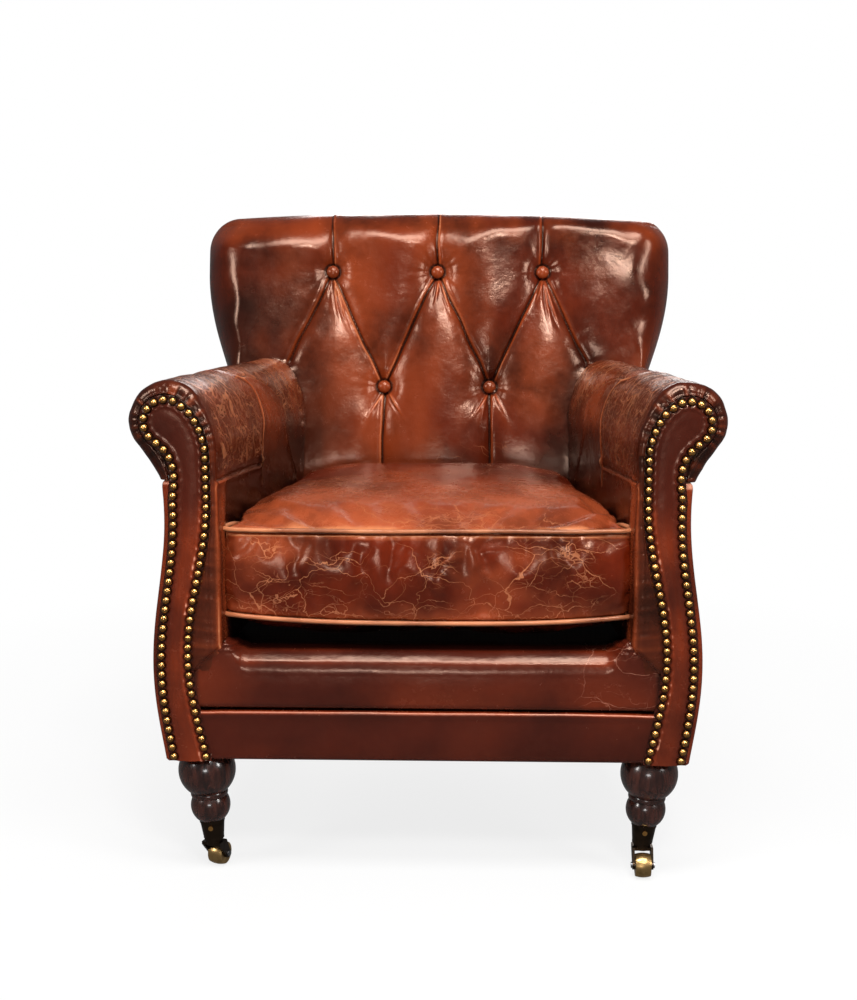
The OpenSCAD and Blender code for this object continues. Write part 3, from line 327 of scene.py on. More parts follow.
def tufting(x, w):
    """The tufted front's height over its mean, how deep in a crease each point is, and where the lips beside
    the folds get a painted highlight.
    """
    z = rim_z(w)
    up = ease((z - LEDGE_Z - 60) / 80)
    mask = ease((z - 400) / 60) * (1 - ease((np.abs(x) - 150 - 150 * up) / 60))
    lift, crease, lip = np.zeros((3,) + x.shape)
    nearest, close = np.full_like(x, 1e3), np.full_like(x, 1e-9)
    for k, (a, b, deep_a, deep_b) in enumerate(FOLDS):
        a, b = np.array(a), np.array(b)
        d = b - a
        length = np.hypot(*d)
        along = ((x - a[0]) * d[0] + (w - a[1]) * d[1]) / length
        signed = ((x - a[0]) * d[1] - (w - a[1]) * d[0]) / length
        # A fold is never quite straight
        signed = signed + 1.8 * noise(xyz(along, 0, 60.0 * k), 38, 4)
        over = np.maximum(0, np.maximum(-along, along - length))
        dist = np.hypot(signed, over)
        deep = (deep_a + (deep_b - deep_a) * np.clip(along / length, 0, 1)) * np.exp(-over / 10)
        beside = signed * (-np.sign(a[0] + b[0]) if a[0] + b[0] else 1.0)
        ended = np.exp(-over / 6)
        lift -= 3.6 * deep * bell(dist / 1.9)
        lift += 1.7 * deep * bell((beside - 4.2) / 3.0) * ended
        lip = np.maximum(lip, deep * bell((beside - 3.2) / 1.6) * ended)
        nearest = np.minimum(nearest, dist / np.maximum(deep, 0.15))
        close += min(1.0, 0.6 * (deep_a + deep_b)) * np.exp(-dist / 18)
        crease = np.maximum(crease, deep * bell(dist / 2.0))
        pinch = noise(xyz(along, signed / 5.0, 40.0 * k), 10, 3)
        lift += 0.55 * deep * pinch * np.exp(-dist / 14) * (1 - bell(dist / 5))
    # The fields swell between the folds, most in their middles
    lift += (5.0 * (1 - np.exp(-nearest / 10))
             + 9.5 * (1 - np.exp(np.minimum(0, 18 * np.log(close)) / 46)) - 10)
    for k, (bx, bw) in enumerate(BUTTONS):
        r = np.hypot(x - bx, w - bw)
        down = np.arctan2(x - bx, bw - w)
        lift -= WELL * (0.62 * bell(r / 17) + 0.38 * np.exp(-r / 24))
        # Short gathers fan out under each button, a few go up from the lower ones
        fan = noise(xyz(down * 30, r * 0.09, 90.0 * k), 5.5, 5)
        reach = np.exp(-r / 34) * ease((r - 9) / 8)
        below = 1 - ease((np.abs(down) - 0.42) / 0.25)
        lift += (4.2 * below + 0.9) * fan * reach
        lip = np.maximum(lip, below * reach * np.maximum(fan, 0) * 1.3)
        crease = np.maximum(crease, 1.1 * bell(np.maximum(0, r - 9) / 6))
        for angle, length in GATHERS[k]:
            across = r * (down - angle - 0.0016 * (r - 20) * np.sign(angle))
            held = bell((r - 0.6 * length) / (0.42 * length)) * (np.abs(down) < 1.2)
            lift += held * (1.5 * bell((across - 3.4) / 2.2) - 2.2 * bell(across / 1.9))
            lip = np.maximum(lip, 1.15 * held * bell((across - 3.2) / 1.7))
            crease = np.maximum(crease, 0.62 * held * bell(across / 1.6))
    lift += 0.18 * noise(xyz(x, w * 0.22, 0), 16, 8)
    return lift * mask, crease * mask, lip * mask


def pad_height(x, w, half, top_w):
    """Distance n of the back's leather out of its plane, with the edges rounded away."""
    side_r = 16 + 50 * ease((rim_z(w) - LEDGE_Z - 56) / 130)
    p = xyz(x, w, 0)
    lumps = 1 + 0.45 * fbm(p, 80, 2, 21)
    shape = rounded((half - np.abs(x)) / (side_r * lumps)) * rounded((top_w - w) / (58 * lumps))
    lift, crease, lip = tufting(x, w)
    broad = 3.0 * fbm(p, 95, 2, 9) + 0.25 * fbm(p, 30, 2, 13)
    return -REAR_TOP_N + (REAR_TOP_N + pad_n(w)) * shape - (lift + broad) * shape, crease, lip


def back_front_y(x, z):
    """World Y of the back's leather at a world X and Z, for the arms to end on."""
    n = pad_n(up_plane(z, -60.0))
    for _ in range(3):
        w = up_plane(z, n)
        half = np.where(rim_z(w) < LEDGE_Z, LOW_HALF, side_half(w))
        from_side = np.where(np.abs(x) > half + 2, 0, np.maximum(half - np.abs(x), 0.5))
        side_r = 16 + 34 * ease((rim_z(w) - LEDGE_Z - 56) / 130)
        n = -REAR_TOP_N + (REAR_TOP_N + pad_n(w)) * rounded(from_side / side_r)
    return PLANE_Y + w * BACK_SIN + n * BACK_COS


# Shader nodes: a socket knows its own tree, so these take sockets or plain values
def fill(node, inputs):
    for key, value in inputs.items():
        if isinstance(value, bpy.types.NodeSocket):
            node.id_data.links.new(value, node.inputs[key])
        elif value is not None:
            node.inputs[key].default_value = value


def add(tree, kind, inputs, **settings):
    made = tree.nodes.new("ShaderNode" + kind)
    for key, value in settings.items():
        setattr(made, key, value)
    fill(made, inputs)
    return made


def maths(operation, a, b=None, clamp=False):
    return add(a.id_data, "Math", {0: a, 1: b}, operation=operation, use_clamp=clamp).outputs[0]


def times(a, b, clamp=False):
    return maths("MULTIPLY", a, b, clamp)


def plus(a, b, clamp=False):
    return maths("ADD", a, b, clamp)


def vectors(operation, a, b):
    second = "Scale" if operation == "SCALE" else 1
    return add(a.id_data, "VectorMath", {0: a, second: b}, operation=operation).outputs[0]


def fit(value, low, high, to_low=0.0, to_high=1.0):
    """The range from low to high stretched to another one, and held inside it."""
    return add(value.id_data, "MapRange", {0: value, 1: low, 2: high, 3: to_low, 4: to_high}).outputs[0]


def blend(factor, a, b):
    return add(factor.id_data, "Mix", {0: factor, 6: a, 7: b}, data_type="RGBA").outputs[2]


def cloud(where, scale, detail=2.0, roughness=0.5, distortion=0.0, out=0):
    return add(where.id_data, "TexNoise", {"Vector": where, "Scale": scale, "Detail": detail,
                                           "Roughness": roughness, "Distortion": distortion}).outputs[out]


def bump(height, strength, distance, under=None, invert=False):
    return add(height.id_data, "Bump", {"Height": height, "Strength": strength, "Distance": distance,
                                        "Normal": under}, invert=invert).outputs[0]


def mark(tree, name):
    return add(tree, "Attribute", {}, attribute_name=name).outputs["Fac"]


# Materials, by name
FINISH = {}


def new_material(name):
    """A material's node tree, and the place on the object."""
    material = FINISH[name] = bpy.data.materials.new(name)
    material.use_nodes = True
    tree = material.node_tree
    return tree, add(tree, "TexCoord", {}).outputs["Object"]


def finish(tree, inputs):
    fill(tree.nodes["Principled BSDF"], inputs)


def rgb(red, green, blue):
    """An sRGB colour from 0 to 255 as linear RGBA."""
    return tuple(((c / 255 + 0.055) / 1.055) ** 2.4 if c > 10 else c / 255 / 12.92
                 for c in (red, green, blue)) + (1.0,)


# Crease layers: cells in a metre, width in mm, how far past the crackled places, strength
NET = ((11.0, 0.8, 0.16, 0.8), (21.0, 0.7, 0.12, 0.75), (40.0, 0.6, 0.0, 0.5))
VEINS = ((8.0, 0.5, 0.32, 0.58), (14.0, 0.5, 0.26, 0.6), (23.0, 0.45, 0.14, 0.52), (42.0, 0.45, 0.02, 0.42),
         (85.0, 0.45, -0.06, 0.34))
# Curls: scale, half width in the noise, strength
CURLS = ((14.0, 0.011, 0.9), (24.0, 0.014, 0.85), (40.0, 0.012, 0.35))
# How the creases are bent: scale of the noise, and how far it moves them in metres
BENDS = ((16.0, 0.045), (60.0, 0.011), (210.0, 0.0028))
# Near-black that painted shade darkens the leather towards
PAINTED_SHADE_COLOUR = (0.003, 0.001, 0.001, 1)


def leather(name, dark, mid, light, crack, rough, grain=0.25, flow=(1, 1, 1), layers=NET, spread=1.0,
            curls=()):
    """Glossy pulled-up leather, with marks for crackle, rubbing with painted highlights, and painted shade.
    """
    tree, where = new_material(name)
    crackle, worn, shade = (mark(tree, key) for key in ("crackle", "worn", "shade"))
    cloudy, fine = cloud(where, 9.0, 4.0), cloud(where, 75.0, 5.0, 0.65)
    tone = plus(times(cloudy, 0.86), times(fine, 0.14))
    # Rubbing and painted highlights lighten the colour towards the light colour
    lightening = times(worn, fit(tone, 0.25, 0.55), clamp=True)
    base = blend(lightening, blend(fit(tone, 0.38, 0.62), dark, mid), light)
    # Creases that run on and fork: edges of bent cells, each layer faded in and out by a noise
    bent = where
    for scale, far in BENDS:
        bent = vectors("ADD", bent, vectors("SCALE", cloud(where, scale, 1.0, out="Color"), far))
    bent = vectors("MULTIPLY", bent, flow)
    wider = fit(crackle, 0.3, 0.9, 0.85, spread)
    lines = 0.0
    for k, (scale, width, past, share) in enumerate(layers):
        moved = vectors("ADD", bent, (0.37 * k, 0.61 * k, 0.23 * k))
        cell = add(tree, "TexVoronoi", {"Vector": moved, "Scale": scale}, feature="DISTANCE_TO_EDGE")
        half = width * scale / 2000
        line = fit(maths("DIVIDE", cell.outputs["Distance"], wider), 0.25 * half, 1.25 * half, share, 0.0)
        here = fit(maths("SUBTRACT", plus(crackle, past), cloud(moved, scale * 0.8)), 0.0, 0.3)
        lines = maths("MAXIMUM", times(line, here), lines)
    # Curls: thin bands where a noise crosses its middle
    for k, (scale, width, share) in enumerate(curls):
        moved = vectors("ADD", bent, (0.7 * k + 3, 0.2, 0.4 * k))
        ridge = maths("ABSOLUTE", maths("SUBTRACT", cloud(moved, scale, 1.5, distortion=0.8), 0.5))
        here = fit(maths("SUBTRACT", crackle, cloud(moved, scale * 0.5, 1.0)), -0.1, 0.35)
        lines = maths("MAXIMUM", times(fit(ridge, 0.3 * width, width, share, 0.0), here), lines)
    lines = times(lines, fit(crackle, 0.08, 0.3), clamp=True)
    base = blend(times(lines, 0.85), base, crack)
    # Where rubbing and painted highlights run highest, the colour turns to the crease colour
    base = blend(fit(worn, 0.82, 1.0), base, crack)
    gloss = plus(fit(fine, 0.3, 0.7, rough - 0.04, rough + 0.05), times(lines, 0.15))
    pores = add(tree, "TexVoronoi", {"Vector": where, "Scale": 560.0}).outputs[0]
    relief = bump(cloud(where, 120.0), 0.4, 0.0008, bump(pores, grain, 0.0002))
    # Painted shade: the shade mark darkens the colour almost to black
    finish(tree, {"Base Color": blend(times(shade, 0.94), base, PAINTED_SHADE_COLOUR),
                  "Roughness": plus(gloss, times(lightening, 0.08), clamp=True),
                  "Normal": bump(lines, 0.15, 0.0004, relief, invert=True),
                  "Specular IOR Level": 0.6, "Specular Tint": rgb(255, 206, 178),
                  "Coat Weight": 0.08, "Coat Roughness": 0.16})


def metal(name, colour, dark, rough, patina=0.5, scale=90.0):
    """Aged metal darkened by a mark named rim, from 0 to 1: patina round the rim, and painted shade on the
    nails' lower halves.
    """
    tree, where = new_material(name)
    spots = cloud(where, scale, 4.0)
    darkening = plus(mark(tree, "rim"), fit(spots, 0.45, 0.75, 0.0, patina), clamp=True)
    finish(tree, {"Base Color": blend(darkening, colour, dark),
                  "Roughness": fit(darkening, 0.0, 1.0, rough, rough + 0.3),
                  "Normal": bump(spots, 0.25, 0.0003), "Metallic": 1.0})


def wood(name, dark, mid, rough, coat, stretch=(1, 1, 0.12)):
    tree, where = new_material(name)
    rings = cloud(vectors("MULTIPLY", where, stretch), 150.0, 5.0, distortion=0.6)
    finish(tree, {"Base Color": blend(fit(rings, 0.35, 0.68), dark, mid),
                  "Roughness": fit(rings, 0.3, 0.7, rough, rough + 0.12),
                  "Normal": bump(rings, 0.12, 0.0004), "Coat Weight": coat, "Coat Roughness": 0.12})


def cloth(name, dark, mid):
    tree, where = new_material(name)
    threads = {"Vector": where, "Scale": 50.0, "Distortion": 0.4}
    weave = times(*(add(tree, "TexWave", threads, bands_direction=way).outputs[0] for way in ("X", "Y")))
    tone = plus(times(weave, 0.6), times(cloud(where, 400.0, 3.0), 0.5))
    finish(tree, {"Base Color": blend(tone, dark, mid), "Normal": bump(weave, 0.5, 0.0004),
                  "Roughness": 0.9, "Sheen Weight": 0.03, "Specular IOR Level": 0.15})


def plastic(name, dark, mid, rough):
    tree, where = new_material(name)
    speck = cloud(where, 500.0)
    finish(tree, {"Base Color": blend(speck, dark, mid),
                  "Roughness": fit(speck, 0.3, 0.7, rough, rough + 0.15),
                  "Normal": bump(speck, 0.2, 0.0002)})


leather("leather_back", rgb(44, 10, 4), rgb(92, 28, 9), rgb(166, 70, 30), rgb(190, 112, 72), 0.21)
leather("leather_arm", rgb(40, 11, 5), rgb(76, 25, 11), rgb(158, 68, 32), rgb(202, 128, 86), 0.23,
        curls=CURLS)
leather("leather_cushion", rgb(60, 12, 3), rgb(102, 27, 5), rgb(184, 88, 50), rgb(206, 130, 86), 0.23,
        flow=(0.42, 1, 1), layers=VEINS, spread=1.5)
leather("leather_smooth", rgb(54, 16, 10), rgb(68, 21, 12), rgb(132, 46, 15), rgb(206, 138, 112), 0.22, 0.15,
        flow=(0.5, 1, 1), layers=VEINS)
leather("leather_piping", rgb(96, 40, 22), rgb(150, 76, 44), rgb(214, 140, 96), rgb(224, 152, 108), 0.28)
metal("nail_brass", rgb(238, 176, 100), rgb(48, 24, 11), 0.2, 0.28, 220.0)
metal("wheel_brass", rgb(216, 176, 116), rgb(96, 66, 38), 0.28, 0.6, 160.0)
metal("caster_bronze", rgb(72, 58, 46), rgb(24, 18, 15), 0.32, 0.7)
metal("spring_steel", rgb(150, 152, 156), rgb(70, 66, 62), 0.34, 0.5)
wood("leg_wood", rgb(26, 11, 8), rgb(64, 28, 18), 0.2, 0.7)
wood("frame_wood", rgb(150, 110, 70), rgb(196, 156, 108), 0.5, 0.0, (0.15, 1, 1))
cloth("bottom_cloth", rgb(16, 8, 6), rgb(36, 21, 16))
cloth("webbing", rgb(110, 88, 56), rgb(168, 142, 98))
plastic("glide_plastic", rgb(18, 18, 19), rgb(34, 34, 35), 0.5)
KEPT_SLOTS = [name for name in FINISH if not name.startswith("leather")]


def dress(obj, material, body, *nodes, slot=None):
    """Gives a piece its material and its body, and hides the CAD nodes that it stands for. Its slot is not
    used.
    """
    obj.data.materials.clear()
    obj.data.materials.append(FINISH[material])
    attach(obj, body)
    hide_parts(*nodes)
    return obj


# Nail line and facing outline, in the arm's front plane
NAIL_FOOT, SIDE_TOP, IN_TOP = BODY_Z + 7, SEAM_Z - 24, SHOULDER_Z - 14
up_side, down_inside = np.linspace(NAIL_FOOT, SIDE_TOP, 29), np.linspace(IN_TOP, NAIL_FOOT, 31)
NAIL_LINE = np.concatenate([
    xyz(panel_out(up_side) - 13, up_side),
    SCROLL + [(-7.5, -78), (-7.5, -66), (-6, -53), (-1, -40), (7.5, -30)],
    on_circle(SCROLL, SCROLL_R - 19.5, np.arange(-45, 121, 15)),
    on_circle(SHOULDER, SHOULDER_R - 17.5 + np.arange(4), 146 + 10 * np.arange(4)),
    xyz(ARM_IN + 29 + 14.5 * np.cos(math.pi * (np.minimum(down_inside, 510.0) - 300) / 210), down_inside)])
FACING_EDGE = NAIL_LINE + 7 * right_of(NAIL_LINE)
NAILS = resample(NAIL_LINE, NAIL_PITCH)


# Arms: the roll and the inside in one skin, from the deck over the scroll to the seam below it
ARM_FOOT, ARM_ZERO = 286, 300


def arm_path():
    inside = np.linspace(ARM_FOOT, SHOULDER_Z, 40)
    scroll = on_circle(SCROLL, SCROLL_R, np.linspace(SHOULDER_A, LIP_A, 36)[1:])
    under = scroll[-1] + (np.array([LIP_X, SEAM_Z]) - scroll[-1]) * np.linspace(0, 1, 12)[1:, None]
    shoulder = on_circle(SHOULDER, SHOULDER_R, np.linspace(180, SHOULDER_A, 16)[1:])
    return resample(np.concatenate([xyz(ARM_IN, inside), shoulder, scroll, under]), 1.7)


# Seams on the arm, as distance round its section from ARM_ZERO's height at the inside, and as Y
LEVEL_SEAM = [(232, -352), (230, -258), (226, -124)]
PANEL_END = [(200, -118), (228, -120), (244, -112), (271, -100), (292, -90), (313, -82), (330, -82),
             (342, -96), (350, -118)]
GUSSET = [(182, 104), (208, 82), (234, 56), (262, 40), (296, 46), (317, 30), (332, 2), (344, -30), (351, -66),
          (354, -105), (372, -132), (420, -142), (480, -140), (539, -138)]
FRONT_FLAT = 12


def roll_seam(u):
    """Height of the slanting seam between the front roll and the arm's front, u from the middle."""
    return 292.0 + (291.0 - u) * 0.98


def arm_front(path, reach, seed):
    """The front margin: rows from the nails out to the section's edge, with pinched pleats."""
    edge = resample(FACING_EDGE[::-1], 1.0)
    aim = np.stack([edge[np.argmin(np.hypot(*(edge - p).T))] for p in path])
    for _ in range(30):
        aim[1:-1] = (aim[:-2] + 2 * aim[1:-1] + aim[2:]) / 4
    inward = aim - path
    width = np.maximum(np.linalg.norm(inward, axis=1), 4)
    inward /= width[:, None]
    fillet = np.minimum(12, 0.8 * width)
    # Pleats are close and deep round the scroll, fewer down the inside
    along = xyz(reach, 0, 0)
    pleat = noise(along, 5.0, seed + 8)
    pleat = np.sign(pleat) * np.abs(pleat) ** 0.6
    strength = 0.35 + 0.65 * ease((reach - 240) / 60)
    # Masks for painted highlights on the pleats' crests and painted shade in their hollows
    pleat_highlight, dark = ease((pleat - 0.25) / 0.5) * strength, ease((-pleat - 0.1) / 0.5) * strength
    lower = 1 - ease((reach - 226) / 8)
    # The flat rows by t, then a fillet by its angle
    t = np.linspace(1.2, 0.0, FRONT_FLAT)[:, None]
    a = np.radians(np.linspace(0, 90, 12)[1:])[:, None]
    lean = np.cos(a) ** 1.5
    p = path + inward * np.concatenate([fillet + (width - fillet) * t, fillet * (1 - np.sin(a))])[..., None]
    puff = 2.2 * np.sin(math.pi * np.minimum(1.0, t)) ** 0.7 + (0.9 - 3.2 * np.maximum(0.0, t - 0.85))
    y = LEATHER_Y + np.concatenate([-puff + 0 * width, fillet * (1 - np.cos(a)) - 0.9 * lean])
    y -= 1.5 * pleat * strength * np.concatenate([ease((1.15 - t) / 0.4), lean])
    y += 6.0 * ease((roll_seam(p[..., 0]) + 1 - p[..., 1]) / 5) * np.concatenate([1 + 0 * t, lean])
    # A painted highlight runs down the middle of the fillet below the level seam
    edge_worn = lower * bell((np.degrees(a) - 52) / 15) * (0.75 + 0.4 * noise(along, 30, seed + 15))
    # The margin is darker overall; painted shade deepens it where it tucks under the facing and in the
    # pleats' hollows, and painted highlights lighten the pleats' crests
    worn = 0.03 + 0.06 * lower + np.concatenate([0.5 * pleat_highlight * (t < 1.05), 0.5 * pleat_highlight * lean + edge_worn])
    shade = 0.3 + np.concatenate([0.6 * dark - 0.05 * lower + 2 * np.maximum(0.0, t - 0.9),
                                  0.55 * dark * lean - 0.2 * lower])
    return xyz(p[..., 0], y, p[..., 1]), worn, shade, 0.25 * pleat * strength


def arm_skin(side, name):
    path = arm_path()
    reach = reach_along(path) - (ARM_ZERO - ARM_FOOT)
    seed = 20 if side > 0 else 50
    front, front_worn, front_shade, pleats = arm_front(path, reach, seed)
    cap = len(front)
    # Along the arm to the back's leather: from a first guess at Y 160, four steps land on it
    at = front[-1]
    end = at.copy()
    end[:, 1] = 160
    for _ in range(4):
        world = toed(fallen(end))
        end[:, 1] += back_front_y(world[:, 0], world[:, 2]) - SKIN_GAP - world[:, 1]
    share = np.linspace(0, 1, 256)[1:, None, None]
    local = np.concatenate([front, at + (end - at) * share])
    y = local[..., 1]
    s = np.broadcast_to(reach, y.shape)
    flat = xyz(s, y, seed * 7.0)
    from_front, from_rear = y - LEATHER_Y, end[:, 1] - y
    near_rear = np.maximum(from_rear, 0)
    top_zone = ease((s - 234) / 8)
    level, panel_end, gusset = (off_line(s, y, curve(seam)) for seam in (LEVEL_SEAM, PANEL_END, GUSSET))
    ahead = (y < np.interp(s, *np.transpose(PANEL_END))) & (s > 200) | (s > 350) & (y < -140)
    behind = y > np.interp(s, *np.transpose(GUSSET))
    # Wrinkles: broad ones, drag lines along the roll, pleats let out from the front and the gusset
    lift = 1.2 * fbm(flat * [1, 0.8, 1], 70, 2, seed) + 0.45 * fbm(flat, 22, 3, seed + 3)
    on_top = ease((s - 265) / 40) * (1 - ease((s - 505) / 30))
    lift += 3.6 * ease((s - 300) / 70) * (1 - ease((s - 470) / 60))
    lift += 0.7 * on_top * noise(flat * [1, 0.25, 1], 12, seed + 6) * np.exp(-from_front / 150)
    lift += pleats * np.exp(-np.maximum(from_front - 6, 0) / 10) * ease(from_front / 8)
    gather = noise(flat * [1, 0.3, 1], 8, seed + 9)
    lift += 1.5 * gather * bell((from_rear - 26) / 22) * (0.4 + 0.6 * bell((s - 262) / 40))
    lift -= 2.4 * (bell(level / 2.0) + bell(panel_end / 2.0) * 0.7 + bell(gusset / 2.2))
    lift += 2.2 * (1 - top_zone) * bell((from_front - 26) / 16)
    lift += 1.6 * bell((level - 4) / 3.5) + 1.3 * bell((gusset + 4.5) / 4) + 0.8 * bell((panel_end - 4.5) / 4)
    tab = bell((s - 232) / 6.5) * bell((y + 119) / 3.6)
    lift += 6.5 * tab - 3.5 * np.exp(-near_rear / 6)
    # Nothing of it on the flat front, all of it past the fillet
    grown = [np.zeros(FRONT_FLAT), np.linspace(0, 1, cap - FRONT_FLAT), np.ones(len(share))]
    lift *= np.concatenate(grown)[:, None]
    outward = -right_of(path)
    local = local + xyz(outward[:, 0], 0, outward[:, 1]) * lift[..., None]
    # Marks: crackle, rubbing and painted highlights, and painted shade
    crackle = np.where(ahead, 0.78, np.where(behind, 0.75 * bell((s - 340) / 80), 0.22))
    crackle += 0.25 * fbm(flat, 55, 2, seed + 11)
    crackle *= top_zone * (1 - 0.6 * ease((s - 500) / 30)) * ease((from_front - 8) / 30)
    crackle += 0.04
    worn = 0.06 + 0.3 * fbm(flat, 48, 2, seed + 13)
    # Paler by zone towards and over the roll's top: partly the leather's tone, partly a painted highlight
    worn += np.where(ahead, 0.16 * ease((from_front - 60) / 160),
                     np.where(behind, 0.36 * bell((s - 345) / 60), 0.38 * ease((s - 230) / 70)))
    # A paler band down the inside near the front, below the level seam: partly its tone, partly a painted
    # highlight
    worn += 0.45 * (1 - top_zone) * bell((from_front - 24) / 13)
    edges = 0.95 * bell((level - 3.0) / 1.5) + 1.15 * bell((gusset + 3.2) / 2.1)
    edges += 1.1 * bell((panel_end - 3.2) / 2.0) + 0.9 * bell((from_rear - 5) / 1.6) * on_top + 2.2 * tab
    worn = np.maximum(worn, edges)
    # Painted shade: in the seams' grooves, where the arm meets the back, down the inside away from the front,
    # low on the roll behind the front panel and under the scroll. The top is also darker towards the front.
    seams = np.maximum.reduce([bell(level / 1.5), bell(gusset / 1.6), 0.8 * bell(panel_end / 1.4)])
    shade = np.maximum(0.95 * ease((seams - 0.3) / 0.5) * (1 - tab), 0.9 * np.exp(-near_rear / 3.5))
    shade += (0.85 if side < 0 else 0.62) * (1 - top_zone) * ease((from_front - 32) / 36)
    shade += 0.45 * (s < 300) * ease((300 - s) / 60) * ~ahead * top_zone
    shade += top_zone * (0.35 * (1 - ease((from_front - 4) / 40)) + 0.3 * ahead * (1 - ease((s - 300) / 60)))
    shade += 0.55 * ease((s - 440) / 40)
    worn[:cap], shade[:cap], crackle[:cap] = front_worn, front_shade, 0.1
    return grid_mesh(name, mirrored(toed(fallen(local)), side), flip=side > 0, crackle=crackle, worn=worn,
                     shade=shade)


for side, word in SIDES:
    skin = dress(arm_skin(side, f"arm_leather_{word}"), "leather_arm", "chair", f"arm_{word}")


# Outside panels, wrapped round to the nails at the front
def outside_skin(side, name):
    z = np.concatenate([BODY_Z + np.array([3.5, 1.0, 0.2]), np.linspace(BODY_Z + 1.5, SEAM_Z - 1, 130)])
    out = panel_out(z) - np.concatenate([[9.0, 4.0, 1.2], np.zeros(127), [0.3, 1.2, 3.6]])
    edge = resample(FACING_EDGE, 1.0)
    outer = edge[: np.argmax(edge[:, 1])]
    margin = np.maximum(out - np.interp(z, outer[:, 1], outer[:, 0]), 8)[:, None]
    r = 5.0
    t, a = np.linspace(1.5, 0.0, 6), np.radians(np.linspace(0, 90, 7)[1:])
    inset = np.concatenate([r + (margin - r) * t, r * (1 - np.sin(a)) + 0 * margin], 1)
    back = np.concatenate([4.0 * np.maximum(0, t - 1), r * (1 - np.cos(a))])
    head = xyz(out[:, None] - inset, LEATHER_Y + back, z[:, None])
    rise = (z - z.min()) / (SEAM_Z - z.min())

    def to_band(p):
        """Moves points along Y so that, once fallen, they lie on the plane of the band round the back."""
        p = p.copy()
        for _ in range(5):
            world = toed(fallen(p, rise))
            goal = PLANE_Y + (world[:, 2] - BODY_Z) * math.tan(RECLINE) - (REAR_TOP_N + SKIN_GAP) / BACK_COS
            p[:, 1] += goal - world[:, 1]
        return p, world

    first = head[:, -1]
    last, world = to_band(first)
    share = np.linspace(0, 1, 150)[1:, None]
    body = first[:, None] + (last - first)[:, None] * share
    # The rear edge turns in against the band
    turned_in = np.maximum(world[:, 0] - back_side(world[:, 2]) + 3, 2.5)
    rear = [to_band(last - xyz(turned_in * part, 0, 0))[0] for part in (0.08, 0.2, 0.5, 1.0)]
    local = np.concatenate([head, body, np.stack(rear, 1)], 1)
    seed = 70 if side > 0 else 90
    y = local[..., 1]
    depth = y - LEATHER_Y
    # The top edge falls with the roll
    rise = rise[:, None]
    local[..., 2] -= rise * np.maximum(depth, 0) * FALL_TAN
    z = local[..., 2]
    under_seam = SEAM_Z - z - depth * FALL_TAN * rise
    at_rear = np.exp(-np.abs(last[:, 1:2] - y) / 6)
    flat = xyz(z, y, seed * 5.0)
    lift = 1.6 * fbm(flat * [1, 0.7, 1], 110, 2, seed) + 0.35 * fbm(flat, 34, 2, seed + 2)
    lift += 1.0 * noise(xyz(z, y * 0.1, 0), 5.5, seed + 4) * bell(depth / 14) * bell((under_seam - 14) / 14)
    lift *= np.minimum(1, np.maximum(depth + 2, 0) / 30)
    local[..., 0] += lift - 1.2 * at_rear
    worn = 0.18 + 0.35 * fbm(flat, 90, 2, seed + 5)
    worn += 0.5 * bell((depth - 1) / 4) + 0.4 * bell((under_seam - 4) / 3)
    # Painted shade where the rear edge turns in against the band
    return grid_mesh(name, mirrored(toed(local), side), flip=side < 0, worn=worn, shade=0.6 * at_rear,
                     crackle=0.05 + 0.12 * fbm(flat, 80, 2, seed + 7))


for side, word in SIDES:
    dress(outside_skin(side, f"outside_leather_{word}"), "leather_smooth", "chair", f"outside_arm_{word}")


# Facings: a crowned panel between the nail lines
def facing_skin(side, name):
    edge = resample(FACING_EDGE, 1.0)
    peak = np.argmax(edge[:, 1])
    outer, inner = edge[: peak + 1], edge[peak:][::-1]
    foot, top_z = BODY_Z + 1, edge[peak, 1]
    z = foot + (top_z - foot) * np.sin(np.linspace(0, math.pi / 2, 260))[:, None]
    z[-1] -= 0.05
    x_out, x_in = np.interp(z, outer[:, 1], outer[:, 0]), np.interp(z, inner[:, 1], inner[:, 0])
    t = (1 - np.cos(np.linspace(0, math.pi, 54))) / 2
    x, z = np.broadcast_arrays(x_in + (x_out - x_in) * t, z)
    flat = xyz(x, z, side * 40.0)
    gap = np.abs(off_line(x, z, edge))
    near = np.min([np.hypot(x - nail_x, z - nail_z) for nail_x, nail_z in NAILS], axis=0)
    # Between the nails the leather is drawn tight, and just inside them it swells
    swell = bell((gap - 13.5) / 3.2)
    scallop = ease((near - 5) / 6)
    crown = (3.0 - 1.8 * ease((z - 470) / 80)) * ease((gap - 8) / 20) + 1.9 * swell * (0.3 + 0.7 * scallop)
    crown += 0.5 * fbm(flat, 40, 2, 5) * ease(gap / 20)
    y = FACING_Y + 2.6 - crown + 1.2 * bell(near / 7) - 1.2 * rounded(gap / 3.0)
    y = np.where(gap <= 0.6, LEATHER_Y + 0.5, y)
    low = 1 - ease((z - 450) / 60)
    worn = 0.06 + 0.72 * low * (0.6 + 0.5 * fbm(flat, 60, 2, 15)) * ease((gap - 12) / 10)
    pinched = np.where(t < 0.45, 0.1 + 1.0 * (1 - ease((z - 480) / 40)), 0.1 + 0.15 * low)
    # Painted highlight on the swell just inside the nails, most on the inner side low down
    worn += swell * pinched * (0.45 + 0.55 * scallop) * (0.8 + 0.5 * fbm(flat, 16, 2, 19))
    # Painted shade round each nail and along the edge under the nails; darker towards the top
    shade = 0.9 * (1 - ease((near - 4.6) / 3.0)) + 0.22 * ease((z - 440) / 120) + 0.5 * (1 - ease(gap / 3))
    return grid_mesh(name, mirrored(xyz(x, y, z), side), flip=side > 0, crackle=0.02, worn=worn, shade=shade)


